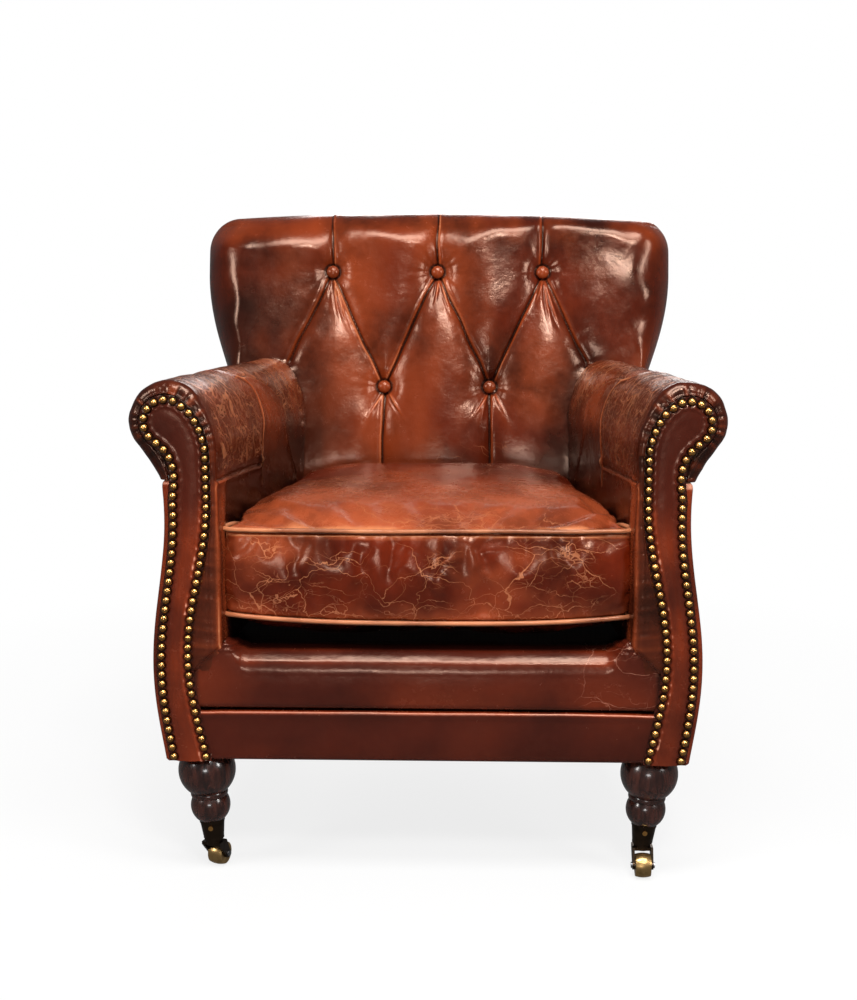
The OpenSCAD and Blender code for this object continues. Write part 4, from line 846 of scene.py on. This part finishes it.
def nail_mesh(side, name):
    """Domed heads, each a little different in tone and tilt, with patina round the rim and painted shade on
    their lower halves.
    """
    rng = np.random.default_rng(40 + side)
    ball = (NAIL_R ** 2 + NAIL_RISE ** 2) / (2 * NAIL_RISE)
    t = np.linspace(0, 1, 9)
    a = t * math.asin(NAIL_R / ball)
    # The rings of the dome, and one below its rim
    r = np.append(ball * np.sin(a), NAIL_R - 0.5)[:, None]
    h = np.append(ball * np.cos(a) - ball + NAIL_RISE, -0.5)[:, None]
    t = np.append(t, 1.0)[:, None]
    turn = np.linspace(0, 2 * math.pi, 22, endpoint=False)
    dx, dz = r * np.cos(turn), r * np.sin(turn)
    points, rim = [], []
    for x, z in NAILS:
        tilt = rng.normal(0, 0.04, 2)
        darkening = rng.uniform(0.0, 0.2)
        points.append(xyz(x + dx, FACING_Y + 0.5 - h + dx * tilt[0] + dz * tilt[1], z + dz))
        # Random tone, patina round the rim, and painted shade darkening the lower half of each head
        rim.append(darkening + 0.9 * np.maximum(0, t - 0.62) / 0.38 + 0.55 * np.maximum(0.0, -dz / NAIL_R))
    return grid_mesh(name, mirrored(np.stack(points), side), close_u=True, flip=side < 0, rim=np.stack(rim))


for side, word in SIDES:
    dress(facing_skin(side, f"facing_leather_{word}"), "leather_smooth", "chair", f"arm_facing_{word}")
    dress(nail_mesh(side, f"nails_{word}"), "nail_brass", "chair", f"nailheads_{word}")


# Back: tufted front wrapped over the sides and the top to the rear edge
def back_skin():
    cols, low = 521, 79
    t = np.linspace(-1, 1, cols)
    t = np.sin(t * 1.30) / math.sin(1.30)
    wide = np.sign(t) * np.maximum(0, (np.abs(t) - 0.55) / 0.45) ** 1.5
    # The side edge runs up to the middle of the upper corner's arc, where the top edge takes over
    turn = np.linspace(0, 45, 24)[1:]
    straight_z = np.linspace(LEDGE_Z, CORNER_Z, 60)
    arc = on_circle(np.array([CORNER_IN, CORNER_Z]), BACK_CORNER, turn)
    side = np.concatenate([xyz(back_side(straight_z), rim_w(straight_z)), xyz(arc[:, 0], rim_w(arc[:, 1]))])
    side = resample(side, 0.5)
    last_turn = math.pi / 2 * 0.93
    share = np.sin(np.linspace(0, last_turn, 270)) / math.sin(last_turn)
    at = share * (len(side) - 1)
    side = xyz(*(np.interp(at, np.arange(len(side)), part) for part in side.T)) - [0.5, 0.3]
    corner_x, corner_w = side[-1]
    crest = rim_w(back_top(t * LOW_HALF + wide * (corner_x - LOW_HALF))) - 0.5
    low_w = np.linspace(rim_w(DECK_Z - 8), rim_w(LEDGE_Z), low + 1)[:-1, None]
    x = np.concatenate([t * LOW_HALF + 0 * low_w, t * LOW_HALF + wide * (side[:, :1] - LOW_HALF)])
    w = np.concatenate([low_w + 0 * t, side[:, 1:] + share[:, None] * (crest - corner_w)])
    half = np.concatenate([np.full((low, cols), LOW_HALF), side_half(w[low:])])
    n, crease, lip = pad_height(x, w, np.maximum(half, np.abs(x)), np.maximum(rim_w(back_top(x)) - 0.5, w))
    # The wrap runs from the lower left up, over the top and down the right
    rows = len(x)
    loop = ([(r, 0) for r in range(rows)] + [(rows - 1, c) for c in range(1, cols)]
            + [(r, cols - 1) for r in range(rows - 2, -1, -1)])
    loop_r, loop_c = np.array(loop).T
    edge_x, edge_w, edge_n = (field[loop_r, loop_c] for field in (x, w, n))
    flow = unit(np.gradient(xyz(edge_x, edge_w), axis=0))
    for _ in range(12):
        flow[1:-1] = (flow[:-2] + 2 * flow[1:-1] + flow[2:]) / 4
    # How much of the way to the rear, and how far in
    profile = ((0.12, 0.0), (0.3, -0.5), (0.5, -0.8), (0.7, -0.5), (0.88, 0.4), (0.96, 1.6), (1.0, 3.6),
               (1.0, 9.0))
    wrap = np.concatenate([
        in_world(edge_x + flow[:, 1] * inset, edge_w - flow[:, 0] * inset, edge_n * (1 - part))
        for part, inset in profile])
    points = np.concatenate([in_world(x, w, n).reshape(-1, 3), wrap])
    faces = [grid_faces(rows, cols)]
    previous = loop_r * cols + loop_c
    for k in range(len(profile)):
        current = rows * cols + k * len(loop) + np.arange(len(loop))
        faces.append(np.stack([previous[1:], current[1:], current[:-1], previous[:-1]], -1))
        previous = current
    z = rim_z(w)
    far = np.abs(x)
    # Painted highlights on the tufts' lips, along the top and in a patch low on the right, over a blotchy
    # rubbed tone
    worn = 0.14 + 0.5 * fbm(xyz(x, w * 0.35, 0), 85, 3, 31) + 0.75 * lip + 0.25 * ease((z - 770) / 40)
    worn += 0.7 * bell((x - 160) / 65) * bell((z - 570) / 75)
    crackle = 0.06 + 0.16 * fbm(xyz(x, w, 0), 110, 2, 33) + 0.2 * ease((560 - z) / 80)
    # Painted shade in the creases and low down over the cushion
    shade = 0.95 * ease((crease - 0.3) / 0.5) + 0.4 * ease((490 - z) / 50)
    # Painted shade darkens the wings and the low corners, more so on the left
    dusk = ease((far - 118) / 80) * ease((640 - z) / 70) + 0.5 * ease((far - 170) / 60) * bell((z - 670) / 50)
    dusk += 0.42 * ease((far - 165) / 70) * ease((815 - z) / 60)
    dusk *= np.where(x > 0, 0.28, 1.15)
    shade = np.maximum(shade, (0.6 + 0.25 * fbm(xyz(x, w, 0), 90, 2, 35)) * np.minimum(dusk, 1.1))
    worn, crackle, shade = (np.append(field, np.full(len(wrap), on_wrap))
                            for field, on_wrap in ((worn, 0.15), (crackle, 0.06), (shade, 0.0)))
    return make_mesh("back_leather", points, np.concatenate(faces).tolist(), worn=worn, crackle=crackle,
                     shade=shade)


back = dress(back_skin(), "leather_back", "chair", "back_pad", "back_band")


def band_skin(side, name):
    """The band's lower part, between the outside back and the outside arm."""
    z = np.linspace(BODY_Z + 0.4, LEDGE_Z + 7, 120)
    front = -REAR_TOP_N
    # How far in and where, from behind the arm round the edge to under the outside back
    profile = ((12 + 40 * ease((z - 330) / 60), front - 0.1), (5.0, front), (1.8, front + 0.5),
               (0.5, front + 1.8), (0.0, front + 5), (-0.4, -26.0), (-0.6, -19.0), (-0.4, -12.0), (0.0, -7.0),
               (0.4, -4.6), (1.6, -1.6), (3.6, -0.1), (9.0, -0.1))
    rows = []
    for inset, n in profile:
        w = up_plane(z, n)
        rows.append(in_world(back_side(rim_z(w)) - inset - 1.3 * ease((z - LEDGE_Z + 2) / 3), w, n))
    points = np.stack(rows)
    worn = 0.16 + 0.3 * fbm(points * [0, 1, 1] + [side * 60.0, 0, 0], 80, 2, 45)
    # Painted shade in the groove at the ledge and where the band runs in behind the arm
    shade = 0.7 * np.exp(-np.abs(z - LEDGE_Z) / 3) + 0 * worn
    shade[:3] += 0.7
    return grid_mesh(name, mirrored(points, side), flip=side < 0, worn=worn, crackle=0.05, shade=shade)


for side, word in SIDES:
    dress(band_skin(side, f"band_leather_{word}"), "leather_smooth", "chair", "back_band")


def outside_back():
    """The panel behind, a little crowned, its edge turned in against the wrap."""
    inset = 6.0
    v = np.linspace(0.0, 1.0, 110)
    foot = up_plane(BODY_Z, 0) + 0.3
    half = side_half(foot + v * (rim_w(CREST_Z) - inset - foot)) - inset
    for _ in range(8):
        half = side_half(foot + v * (rim_w(back_top(half)) - inset - foot)) - inset
    x = half[:, None] * np.sin(np.linspace(-math.pi / 2, math.pi / 2, 90))
    crest = rim_w(back_top(x)) - inset
    w = foot + v[:, None] * (crest - foot)
    gap = np.minimum.reduce([half[:, None] - np.abs(x), crest - w, w - foot + 1.5])
    flat = xyz(x, w, 300.0)
    n = -3.5 + 3.3 * rounded(gap / 5) + (1.6 * ease(gap / 60) + 1.2 * fbm(flat, 120, 2, 41)) * ease(gap / 40)
    worn = 0.2 + 0.35 * fbm(flat, 110, 2, 43) + 0.35 * bell((gap - 3) / 3)
    # Painted shade along the edge that turns in against the wrap
    return grid_mesh("outside_back_leather", in_world(x, w, n), flip=True, worn=worn, crackle=0.06,
                     shade=0.7 * np.exp(-gap / 1.6))


dress(outside_back(), "leather_smooth", "chair", "outside_back")


def buttons():
    profile = np.array([(0.0, 8.6), (3.4, 8.3), (6.6, 7.2), (8.9, 5.5), (10.2, 3.5), (10.5, 1.6), (10.0, 0.0),
                        (9.2, -2.0)])
    r, h = profile.T[..., None]
    turn = np.linspace(0, 2 * math.pi, 28, endpoint=False)
    points = []
    for k, (x, w) in enumerate(BUTTONS):
        folded = r * (1 + 0.02 * np.sin(9 * turn + k) * (r > 8))
        floor = pad_n(w) + WELL + 6.5
        points.append(in_world(x + folded * np.cos(turn), w + folded * np.sin(turn), floor - h))
    # Painted shade on the lower sides of each button, down in its well
    return grid_mesh("covered_buttons", np.stack(points), close_u=True, worn=0.5 - 0.4 * (r > 9.5),
                     shade=0.8 * (h < 1), crackle=0)


dress(buttons(), "leather_back", "chair", "back_buttons")


# Front roll and border
def roll_skin():
    """The roll under the cushion. Its ends rise and tuck under the arms' slanting seams."""
    x = np.concatenate([np.linspace(-296, -216, 90), np.linspace(-214, 214, 240), np.linspace(216, 296, 90)])
    u = np.abs(x)
    low, face_y, sewn_y = 233.0, LEATHER_Y - 2.5, LEATHER_Y + 90
    turned = low + 14
    top = np.minimum(309 + 15 * ease((u - 226) / 30), roll_seam(u) - 1)
    crest_r = 30 - 22 * ease((u - 236) / 22)
    rows = []
    for t in np.arange(10) / 9:
        rows.append(xyz(x, face_y + 14 * (1 - rounded(t)) ** 1.2, low + 14 * t ** 1.5))
    for t in np.linspace(0, 1, 26)[1:]:
        rows.append(xyz(x, face_y - 1.0 * math.sin(math.pi * t), turned + (top - crest_r - turned) * t))
    for a in np.linspace(0, math.pi / 2, 26)[1:]:
        rows.append(xyz(x, face_y + crest_r * (1 - math.cos(a)), top - crest_r + crest_r * math.sin(a)))
    for t in np.linspace(0, 1, 24)[1:]:
        fall = (top - 306) * ease((t - 0.1) / 0.6) + 4 * t * t
        rows.append(xyz(x, face_y + crest_r + (sewn_y - face_y - crest_r) * t, top - fall))
    flat = np.stack(rows)
    x, y, z = np.moveaxis(flat, -1, 0)
    u = np.abs(x)
    lift = 1.0 * fbm(flat * [0.35, 1, 1], 60, 2, 61) + 0.3 * fbm(flat * [0.6, 1, 1], 24, 2, 63)
    # Two faint ridges along the crest, where the stuffing ends
    bend = 2.0 * noise(flat * [1, 0, 0], 120, 64)
    crest_a = np.degrees(np.arctan2(z - (top - crest_r), crest_r - (y - face_y) + 1e-6)) - bend
    ridges = bell((crest_a - 34) / 7) + 0.8 * bell((crest_a - 70) / 8)
    row = np.arange(len(flat))[:, None]
    ridges *= (row > 34) * (row < 62) * (1 - ease((u - 226) / 20))
    folds = np.sin(z * 2 * math.pi / 7.0 + 2 * noise(flat, 25, 66))
    folds *= ease((u - 226) / 10) * (1 - ease((u - 262) / 14)) * ease((z - 305) / 6)
    lift += 0.7 * ridges + 0.8 * folds
    lift *= ease((z - low) / 8)
    normals = unit(np.cross(np.gradient(flat, axis=1), np.gradient(flat, axis=0)))
    # The crest's ridges carry a painted highlight
    worn = 0.14 + 0.35 * fbm(flat * [0.4, 1, 1], 75, 2, 67) + 0.35 * ridges
    worn += 0.35 * bell((u - 225) / 22) * ease((z - 285) / 15)
    # Painted shade: the cushion's shadow over the roll's top, the bottom seam, the slanting seams under the
    # arms and the ends
    shade = np.maximum.reduce([0.8 * bell((z - low) / 5) + 0.85 * ease((y - LEATHER_Y - 8) / 18),
                               0.95 * bell((z - roll_seam(u)) / 2.5) * (u > 252), 0.8 * ease((u - 288) / 8)])
    return grid_mesh("front_roll_leather", flat + normals * lift[..., None], worn=worn, shade=shade,
                     crackle=0.05 + 0.5 * ease((x - 150) / 100) + 0.1 * fbm(flat, 60, 2, 68))


def border_skin():
    """The padded border, its upper edge rolled over and its lower edge turned in."""
    x = np.linspace(-294, 294, 320)
    # How far behind the leather's front, and height
    profile = [(14, 232.0), (4, 231.6), (0.5, 231.2), (-2.2, 230.0), (-3.2, 227.6), (-2.6, 224), (-1.6, 219),
               (-1.4, 210), (-1.8, 195), (-1.6, 180), (-0.8, 171), (1.0, 166), (4.5, 163.6), (14, 163.4)]
    behind, level = curve(profile, 1.6).T[..., None]
    flat = xyz(x, LEATHER_Y + behind, level)
    behind = behind - 0.9 * fbm(flat * [0.35, 1, 0.6], 55, 2, 71) * ease((level - 164) / 12)
    wavy = 1.3 * np.abs(noise(flat * [1, 0, 0], 150, 73)) + 0.6 * ease((np.abs(x) - 262) / 20)
    z = level - wavy * ease((level - 215) / 12)
    # A painted highlight along the rolled-over top edge
    worn = np.maximum(0.06 + 0.28 * fbm(flat * [0.5, 1, 1], 90, 2, 75), bell((level - 229.8) / 1.7))
    # Painted shade at the turned-in foot, in the gap under the roll and at the ends
    shade = 0.5 * bell((z - 163) / 2.5) + 0.9 * ease((behind - 1) / 3) * (z > 220)
    shade = np.maximum(shade, 0.8 * ease((np.abs(x) - 287) / 7))
    return grid_mesh("border_leather", xyz(x, LEATHER_Y + behind, z), flip=True, worn=worn, crackle=0.02,
                     shade=shade)


def deck_skin():
    """Decking under the cushion, dark and matt, with its front edge sewn to the roll. Its near-black is
    partly the cloth's own colour and partly painted shade under the cushion.
    """
    y = np.linspace(LEATHER_Y + 56, SEAT_BACK_Y + 8, 120)[:, None]
    half = PANEL_X - (y - LEATHER_Y) * math.tan(TOE) - (PANEL_X - ARM_IN) / TOE_COS + 1.5
    x = half * np.linspace(-1, 1, 130)
    z = DECK_Z - 1.5 - 9 * (1 - ease((y - y[0]) / 46)) - 1.2 * fbm(xyz(x, y, 0), 90, 2, 77)
    return grid_mesh("deck_cloth", xyz(x, y, z), worn=0, crackle=0, shade=0.5)


roll = dress(roll_skin(), "leather_smooth", "chair", "front_roll")
border = dress(border_skin(), "leather_smooth", "chair", "front_border")
deck = dress(deck_skin(), "bottom_cloth", "chair", "deck")

# Loose cushion
CUSHION_Y0, CUSHION_Y1 = LEATHER_Y + 14, SEAT_BACK_Y - 4
CUSHION_LOW = DECK_Z + 0.3
PIPE_LOW, PIPE_HIGH = CUSHION_LOW + 35, CUSHION_LOW + 35 + 117
CROWN_Z = CUSHION_LOW + 177
CORNER_R, SEAM_IN, PIPE_IN, PIPE_R, TOP_SQUEEZE = 25.0, 7.3, 3.8, 3.2, 5
# The side's line, by its distance from the middle across the arm's own line
SIDE_X = ARM_IN - 0.7 - PANEL_X
SIDE_D = (PANEL_X + SIDE_X * TOE_COS) * TOE_COS + (LEATHER_Y + SIDE_X * TOE_SIN) * TOE_SIN
# The cloth is blown up by pressure for so many frames, and no point moves further than the limit
VOXEL = 0.0058
PRESSURE, GROWTH, FRAMES, MOVE_LIMIT = 3.2, 0.03, 20, 14


def cushion_ring(inset, count_front=64, count_side=60, count_corner=10):
    """Closed outline of the cushion at an inset, anticlockwise from the middle of its front."""
    arcs = []
    for y, start, end in ((CUSHION_Y0 + CORNER_R, -90, 6), (CUSHION_Y1 - CORNER_R, 6, 90)):
        centre = np.array([(SIDE_D - CORNER_R - y * TOE_SIN) / TOE_COS, y])
        arcs.append(on_circle(centre, CORNER_R - inset, np.linspace(start, end, count_corner)))
    first, last = arcs
    half = np.concatenate([np.linspace([0, CUSHION_Y0 + inset], first[0], count_front // 2)[:-1], first,
                           np.linspace(first[-1], last[0], count_side)[1:-1], last,
                           np.linspace(last[-1], [0, CUSHION_Y1 - inset], count_front // 2)[1:]])
    ring = np.concatenate([half, half[::-1][1:-1] * [-1, 1]])
    x, y = ring.T
    # The stuffing bows the front out, and its corners swell past the arms' rounded fronts
    y -= (8 + 2 * np.maximum(0, 1 - (x / 240) ** 2)) * ease((CUSHION_Y0 + 60 - y) / 50)
    x += 13 * np.sign(x) * ease((np.abs(x) - 190) / 50) * bell((y - CUSHION_Y0 + 2) / 20)
    return ring


def squeezed(y):
    """From 0 at the front to 1 where the arms and back press the top seam down and in."""
    return ease((y - CUSHION_Y0 - 22) / 70)


def cushion_outline(inset, squeeze=0.0, **counts):
    """The outline at an inset, with more inset where the cushion is squeezed."""
    ring, inner = cushion_ring(0.0, **counts), cushion_ring(10.0, **counts)
    return ring + (inner - ring) / 10 * (inset + squeeze * squeezed(ring[:, 1]))[:, None]


def rim_top(x, y):
    """Height of the top seam: level in front, pressed down between the arms towards the rear."""
    wave = 1.6 * noise(xyz(x, y * 0.5, 0), 75, 61)
    return PIPE_HIGH + 1.5 - 12 * squeezed(y) - 24 * ease((y + 270) / 330) + wave


def rim_low(x, y):
    front = ease((CUSHION_Y0 + 80 - y) / 60)
    return PIPE_LOW + 9 * np.minimum(1, np.abs(x) / 245) ** 3 * front - 1.5


# Height of the cushion's top just inside its seam, by Y
HELD_Y, HELD_Z = [-345, -265, -150, -84, 50, 150], [467, 471, 466, 460, 451, 442]
# Rings of the cushion from bottom middle to top middle: part, inset, squeeze, and share of the way
CUSHION_RINGS = (
    [("low", SEAM_IN + 4, 0, s) for s in (0.02, 0.25, 0.5, 0.7, 0.84, 0.94)]
    + [("box", SEAM_IN + 1, 0, -0.02), ("box", SEAM_IN, 0, 0.0), ("box", SEAM_IN - 1.5, 0, 0.05)]
    + [("box", SEAM_IN - 5.0 * math.sin(math.pi * s) ** 0.6, 5 * s, s) for s in (0.15, 0.3, 0.5, 0.7, 0.85)]
    + [("box", SEAM_IN - 1.5, 5, 0.95), ("box", SEAM_IN, 5, 1.0), ("box", SEAM_IN + 1, 4, 1.02)]
    + [("top", SEAM_IN + 3, -9, 0.998), ("top", SEAM_IN + 3, -9, 0.993), ("top", SEAM_IN + 3, -8, 0.98)]
    + [("top", SEAM_IN + 3, -4, s) for s in (0.95, 0.9, 0.8, 0.65, 0.45, 0.25, 0.02)])


def cushion_form():
    """Crowned closed shape before the cloth is blown up."""
    middle = np.array([0, (CUSHION_Y0 + CUSHION_Y1) / 2])
    rings = []
    for part, inset, squeeze, share in CUSHION_RINGS:
        outline = cushion_outline(inset, squeeze)
        low, high = rim_low(*outline.T), rim_top(*outline.T)
        ring = outline if part == "box" else middle + (outline - middle) * share
        if part == "box":
            z = low + (high - low) * share
        elif part == "low":
            z = CUSHION_LOW + 3 + (low - CUSHION_LOW - 3) * share ** 4 * 0.9
        else:
            held = np.interp(outline[:, 1], HELD_Y, HELD_Z)
            z = held + (CROWN_Z - 9 - held) * (1 - np.minimum(1, share / 0.98) ** 2.4)
            if share > 0.98:
                z = z - np.minimum(1, (share - 0.98) / 0.02) * (held - high - 2)
        rings.append(xyz(*ring.T, z))
    points = np.stack(rings)
    n, m = points.shape[:2]
    caps = [list(range(m))[::-1], list(range((n - 1) * m, n * m))]
    return make_mesh("seat_cushion_leather", points, grid_faces(n, m, close_u=True).tolist() + caps)


def apply_modifiers(obj):
    bpy.context.view_layer.update()
    made = bpy.data.meshes.new_from_object(obj.evaluated_get(bpy.context.evaluated_depsgraph_get()))
    obj.modifiers.clear()
    old = obj.data
    obj.data = made
    bpy.data.meshes.remove(old)


def point_values(mesh, key):
    flat = np.empty(len(mesh.vertices) * 3, np.float32)
    mesh.vertices.foreach_get(key, flat)
    return flat.reshape(-1, 3)


def seam_distance(p):
    """Distance of points p from the lower and from the upper seam."""
    found = []
    for squeeze, rim in ((0, rim_low), (TOP_SQUEEZE, rim_top)):
        ring = cushion_outline(SEAM_IN, squeeze)
        level = np.abs(off_line(p[:, 0], p[:, 1], np.concatenate([ring, ring[:1]])))
        found.append(np.hypot(level, p[:, 2] - rim(p[:, 0], p[:, 1])))
    return found


def blow_up(obj, pins):
    """Runs a short cloth simulation with pinned points and keeps its result."""
    before = point_values(obj.data, "co").astype(float)
    group = obj.vertex_groups.new(name="pins")
    for weight in np.unique(np.round(pins, 1)):
        if weight > 0:
            members = np.nonzero(np.round(pins, 1) == weight)[0]
            group.add(members.tolist(), float(weight), "REPLACE")
    cloth_modifier = obj.modifiers.new("cloth", "CLOTH")
    settings = cloth_modifier.settings
    settings.quality = 6
    settings.mass = 0.5
    settings.tension_stiffness = settings.compression_stiffness = 22
    settings.shear_stiffness = 12
    settings.bending_stiffness = 2.5
    settings.use_pressure = True
    settings.uniform_pressure_force = PRESSURE
    settings.vertex_group_mass = "pins"
    settings.pin_stiffness = 2.0
    settings.shrink_min = -GROWTH
    settings.effector_weights.gravity = 0
    cloth_modifier.collision_settings.use_collision = False
    cloth_modifier.point_cache.frame_end = FRAMES + 5
    for step in range(1, FRAMES + 1):
        scene.frame_set(step)
    apply_modifiers(obj)
    scene.frame_set(1)
    move = point_values(obj.data, "co").astype(float) - before
    far = np.linalg.norm(move, axis=1, keepdims=True)
    after = before + move * np.minimum(1, MOVE_LIMIT * MM / np.maximum(far, 1e-9))
    obj.data.vertices.foreach_set("co", after.astype(np.float32).ravel())
    obj.vertex_groups.clear()
    obj.data.update()


cushion = cushion_form()
remesh = cushion.modifiers.new("remesh", "REMESH")
remesh.mode = "VOXEL"
remesh.voxel_size = VOXEL
apply_modifiers(cushion)
d = np.minimum(*seam_distance(point_values(cushion.data, "co").astype(float) / MM))
blow_up(cushion, 1 - ease((d - 4) / 6))
smooth = cushion.modifiers.new("subdivision", "SUBSURF")
smooth.levels = smooth.render_levels = 1
apply_modifiers(cushion)


def finish_cushion(mesh):
    """Puckers, folds and the marks for the leather, after the cloth has settled."""
    p = point_values(mesh, "co").astype(float) / MM
    normal = point_values(mesh, "normal")
    # Views of p, so they move with it
    x, y, z = p.T
    low, high = seam_distance(p)
    d = np.minimum(low, high)
    top = ease((z - rim_top(x, y) + 1) / 3)
    boxing = ease((z - rim_low(x, y) + 1) / 3) * (1 - top)
    front = ease((CUSHION_Y0 + 45 - y) / 30)
    around = np.where(front > 0.5, x, y + 900)
    lift = 0.8 * fbm(p, 60, 2, 81) + 0.3 * fbm(p, 20, 2, 83)
    # Puckers hang from the seams, longest on the boxing right of the middle
    gather = noise(xyz(around, z * 0.10, 0), 8.5, 85)
    lift += 1.1 * gather * np.exp(-np.maximum(d - 3, 0) / 13) * (0.35 + 0.65 * boxing)
    slant = noise(xyz(x + 0.3 * (z - 400), z * 0.16, 0), 15, 87)
    lift += 1.0 * slant * boxing * front * (0.3 + 0.7 * bell((x - 25) / 75))
    lift += 0.9 * noise(p * [0.5, 1, 1.4], 34, 88) * top * ease((CUSHION_Y0 + 130 - y) / 110)
    # A star of folds in the middle of the boxing
    r, turn = np.hypot(x - 17, z - 424), np.arctan2(x - 17, z - 424)
    star = noise(xyz(turn * 12, 0, 0), 7, 89) * bell(r / 30) * boxing * front
    lift += 1.6 * star
    lift -= 2.2 * bell(d / 3.4)
    p += normal * lift[:, None]
    p[:, 2] = np.maximum(p[:, 2], CUSHION_LOW + 0.2)
    mesh.vertices.foreach_set("co", (p * MM).astype(np.float32).ravel())
    from_low, from_high = np.maximum(low - 3, 0), np.maximum(high - 4, 0)
    # On the top a rubbed tone with painted light: paler next to the top seam as a painted highlight, darker
    # towards the rear as painted shade
    worn = 0.50 + 0.26 * fbm(p, 75, 2, 91) + 0.4 * np.exp(-from_high / 16) - 0.55 * ease((y + 210) / 200)
    worn *= top
    worn += boxing * (0.06 + 0.35 * fbm(p * [0.6, 1, 1], 45, 2, 93) + 0.5 * np.exp(-from_low / 12))
    worn = np.maximum(worn, boxing * 1.15 * bell((high - 7.2) / 2.6)) + 0.8 * np.maximum(star, 0)
    ends = bell((x + 215) / 75) + bell((x - 170) / 80)
    crackle = top * (0.46 + 0.34 * fbm(p, 85, 2, 95) + 0.36 * np.exp(-from_high / 22))
    crackle += boxing * (0.24 + 0.36 * ends + 0.3 * fbm(p, 60, 2, 97)) + 0.3 * bell(r / 26) * boxing * front
    # Painted shade in the gap under the top piping, along the bottom seam and below it
    shade = np.maximum(0.95 * bell(high / 3.4) * (1 - top), 0.6 * bell(low / 4))
    shade += 0.6 * ease((rim_low(x, y) - 3 - z) / 4)
    set_marks(mesh, worn=worn, crackle=crackle, shade=shade)
    mesh.polygons.foreach_set("use_smooth", np.ones(len(mesh.polygons), bool))
    mesh.update()


finish_cushion(cushion.data)
dress(cushion, "leather_cushion", "cushion", "seat_cushion")


def piping(name, rim, squeeze, seed):
    """A cord sewn along a seam, its thickness a little uneven."""
    x, y = cushion_outline(PIPE_IN, squeeze, count_front=150, count_side=110, count_corner=26).T
    wobble = xyz(x, y, 10.0 * seed)
    path = xyz(x, y, rim(x, y))
    ahead = unit(np.roll(path, -1, 0) - np.roll(path, 1, 0))
    out = unit(np.cross(ahead, [0, 0, 1.0]))
    top = np.cross(out, ahead)
    r = (PIPE_R + 0.15 * noise(wobble, 14, seed + 1))[:, None, None]
    turn = np.linspace(0, 2 * math.pi, 14, endpoint=False)[:, None]
    points = path[:, None] + r * np.cos(turn) * out[:, None] + r * np.sin(turn) * top[:, None]
    worn = 0.45 + 0.35 * noise(wobble, 25, seed + 2)[:, None]
    # Painted shade on the lower half of the cord
    below = path[:, None, 2] - points[..., 2]
    return grid_mesh(name, points, close_u=True, close_v=True, worn=worn, crackle=0.1,
                     shade=0.9 * ease((below - 0.4) / 1.8))


for word, rim, squeeze, seed in (("top", rim_top, TOP_SQUEEZE, 7), ("bottom", rim_low, 0, 9)):
    dress(piping(f"piping_{word}", rim, squeeze, seed), "leather_piping", "cushion", f"cushion_piping_{word}",
          slot="piping")

# CAD nodes whose shape stays
slot_of = {row["node"]: row["material_slot"] for row in frame["record"]["subparts"]}
for name, obj in frame["nodes"].items():
    if slot_of.get(name) in KEPT_SLOTS:
        obj.data.materials.clear()
        obj.data.materials.append(FINISH[slot_of[name]])

# Studio: pale floor, white surroundings, soft lamps. Reflections see the white dimmed to this.
SHEEN_OF_WHITE = 0.14
WARM = (1.0, 0.98, 0.96)


def white_for_rays(tree):
    """Where the white is seen in full, where it is a reflection, and how bright it is."""
    seen = add(tree, "LightPath", {}).outputs
    shown = maths("MAXIMUM", seen["Is Camera Ray"], seen["Is Transmission Ray"])
    glossy = seen["Is Glossy Ray"]
    return shown, glossy, maths("MAXIMUM", shown, times(glossy, SHEEN_OF_WHITE))


def studio():
    """White all round for the camera. Near the chair the floor keeps a soft shadow."""
    bpy.ops.mesh.primitive_plane_add(size=30, location=(0, 0, -0.0005))
    floor = bpy.context.object
    floor.name = "floor"
    tree, where = new_material("floor_white")
    finish(tree, {"Base Color": (0.8, 0.8, 0.8, 1), "Specular IOR Level": 0.1,
                  "Roughness": fit(cloud(where, 40.0), 0.3, 0.7, 0.62, 0.7)})
    away = add(tree, "VectorMath", {0: where}, operation="LENGTH").outputs["Value"]
    shown, glossy, strength = white_for_rays(tree)
    share = maths("MAXIMUM", times(shown, fit(away, 0.4, 1.3, 0.82, 1.0)), glossy)
    glow = add(tree, "Emission", {"Color": (1, 1, 1, 1), "Strength": strength})
    mix = add(tree, "MixShader", {0: share, 1: tree.nodes["Principled BSDF"].outputs[0], 2: glow.outputs[0]})
    fill(tree.nodes["Material Output"], {0: mix.outputs[0]})
    floor.data.materials.append(FINISH["floor_white"])
    scene.world = bpy.data.worlds.new("studio")
    scene.world.use_nodes = True
    tree = scene.world.node_tree
    strength = white_for_rays(tree)[2]
    fill(tree.nodes["Background"], {0: (1, 1, 1, 1), 1: maths("MAXIMUM", strength, 0.10)})


def lamp(name, place, aim, size, power, tint=(1, 1, 1)):
    data = bpy.data.lights.new(name, "AREA")
    data.shape = "RECTANGLE"
    data.size, data.size_y = size
    data.energy = power
    data.color = tint
    obj = bpy.data.objects.new(name, data)
    scene.collection.objects.link(obj)
    obj.location = place
    obj.rotation_euler = Vector(np.subtract(aim, place)).to_track_quat("-Z", "Y").to_euler()


studio()
lamp("overhead", (0.1, -1.2, 2.7), (0, 0, 0.5), (1.7, 0.7), 60)
lamp("key_front", (0.5, -2.5, 2.7), (0, 0, 0.6), (0.6, 0.4), 40, WARM)
lamp("side_right", (2.3, -1.7, 1.7), (0, 0, 0.5), (0.5, 0.9), 22, WARM)
lamp("side_left", (-2.3, -1.7, 1.7), (0, 0, 0.5), (0.5, 0.9), 22, WARM)
lamp("front_fill", (-0.2, -3.5, 0.8), (0, 0, 0.5), (0.7, 0.35), 12)
lamp("rear_fill", (0.3, 2.8, 1.8), (0, 0, 0.5), (1.6, 1.2), 36)
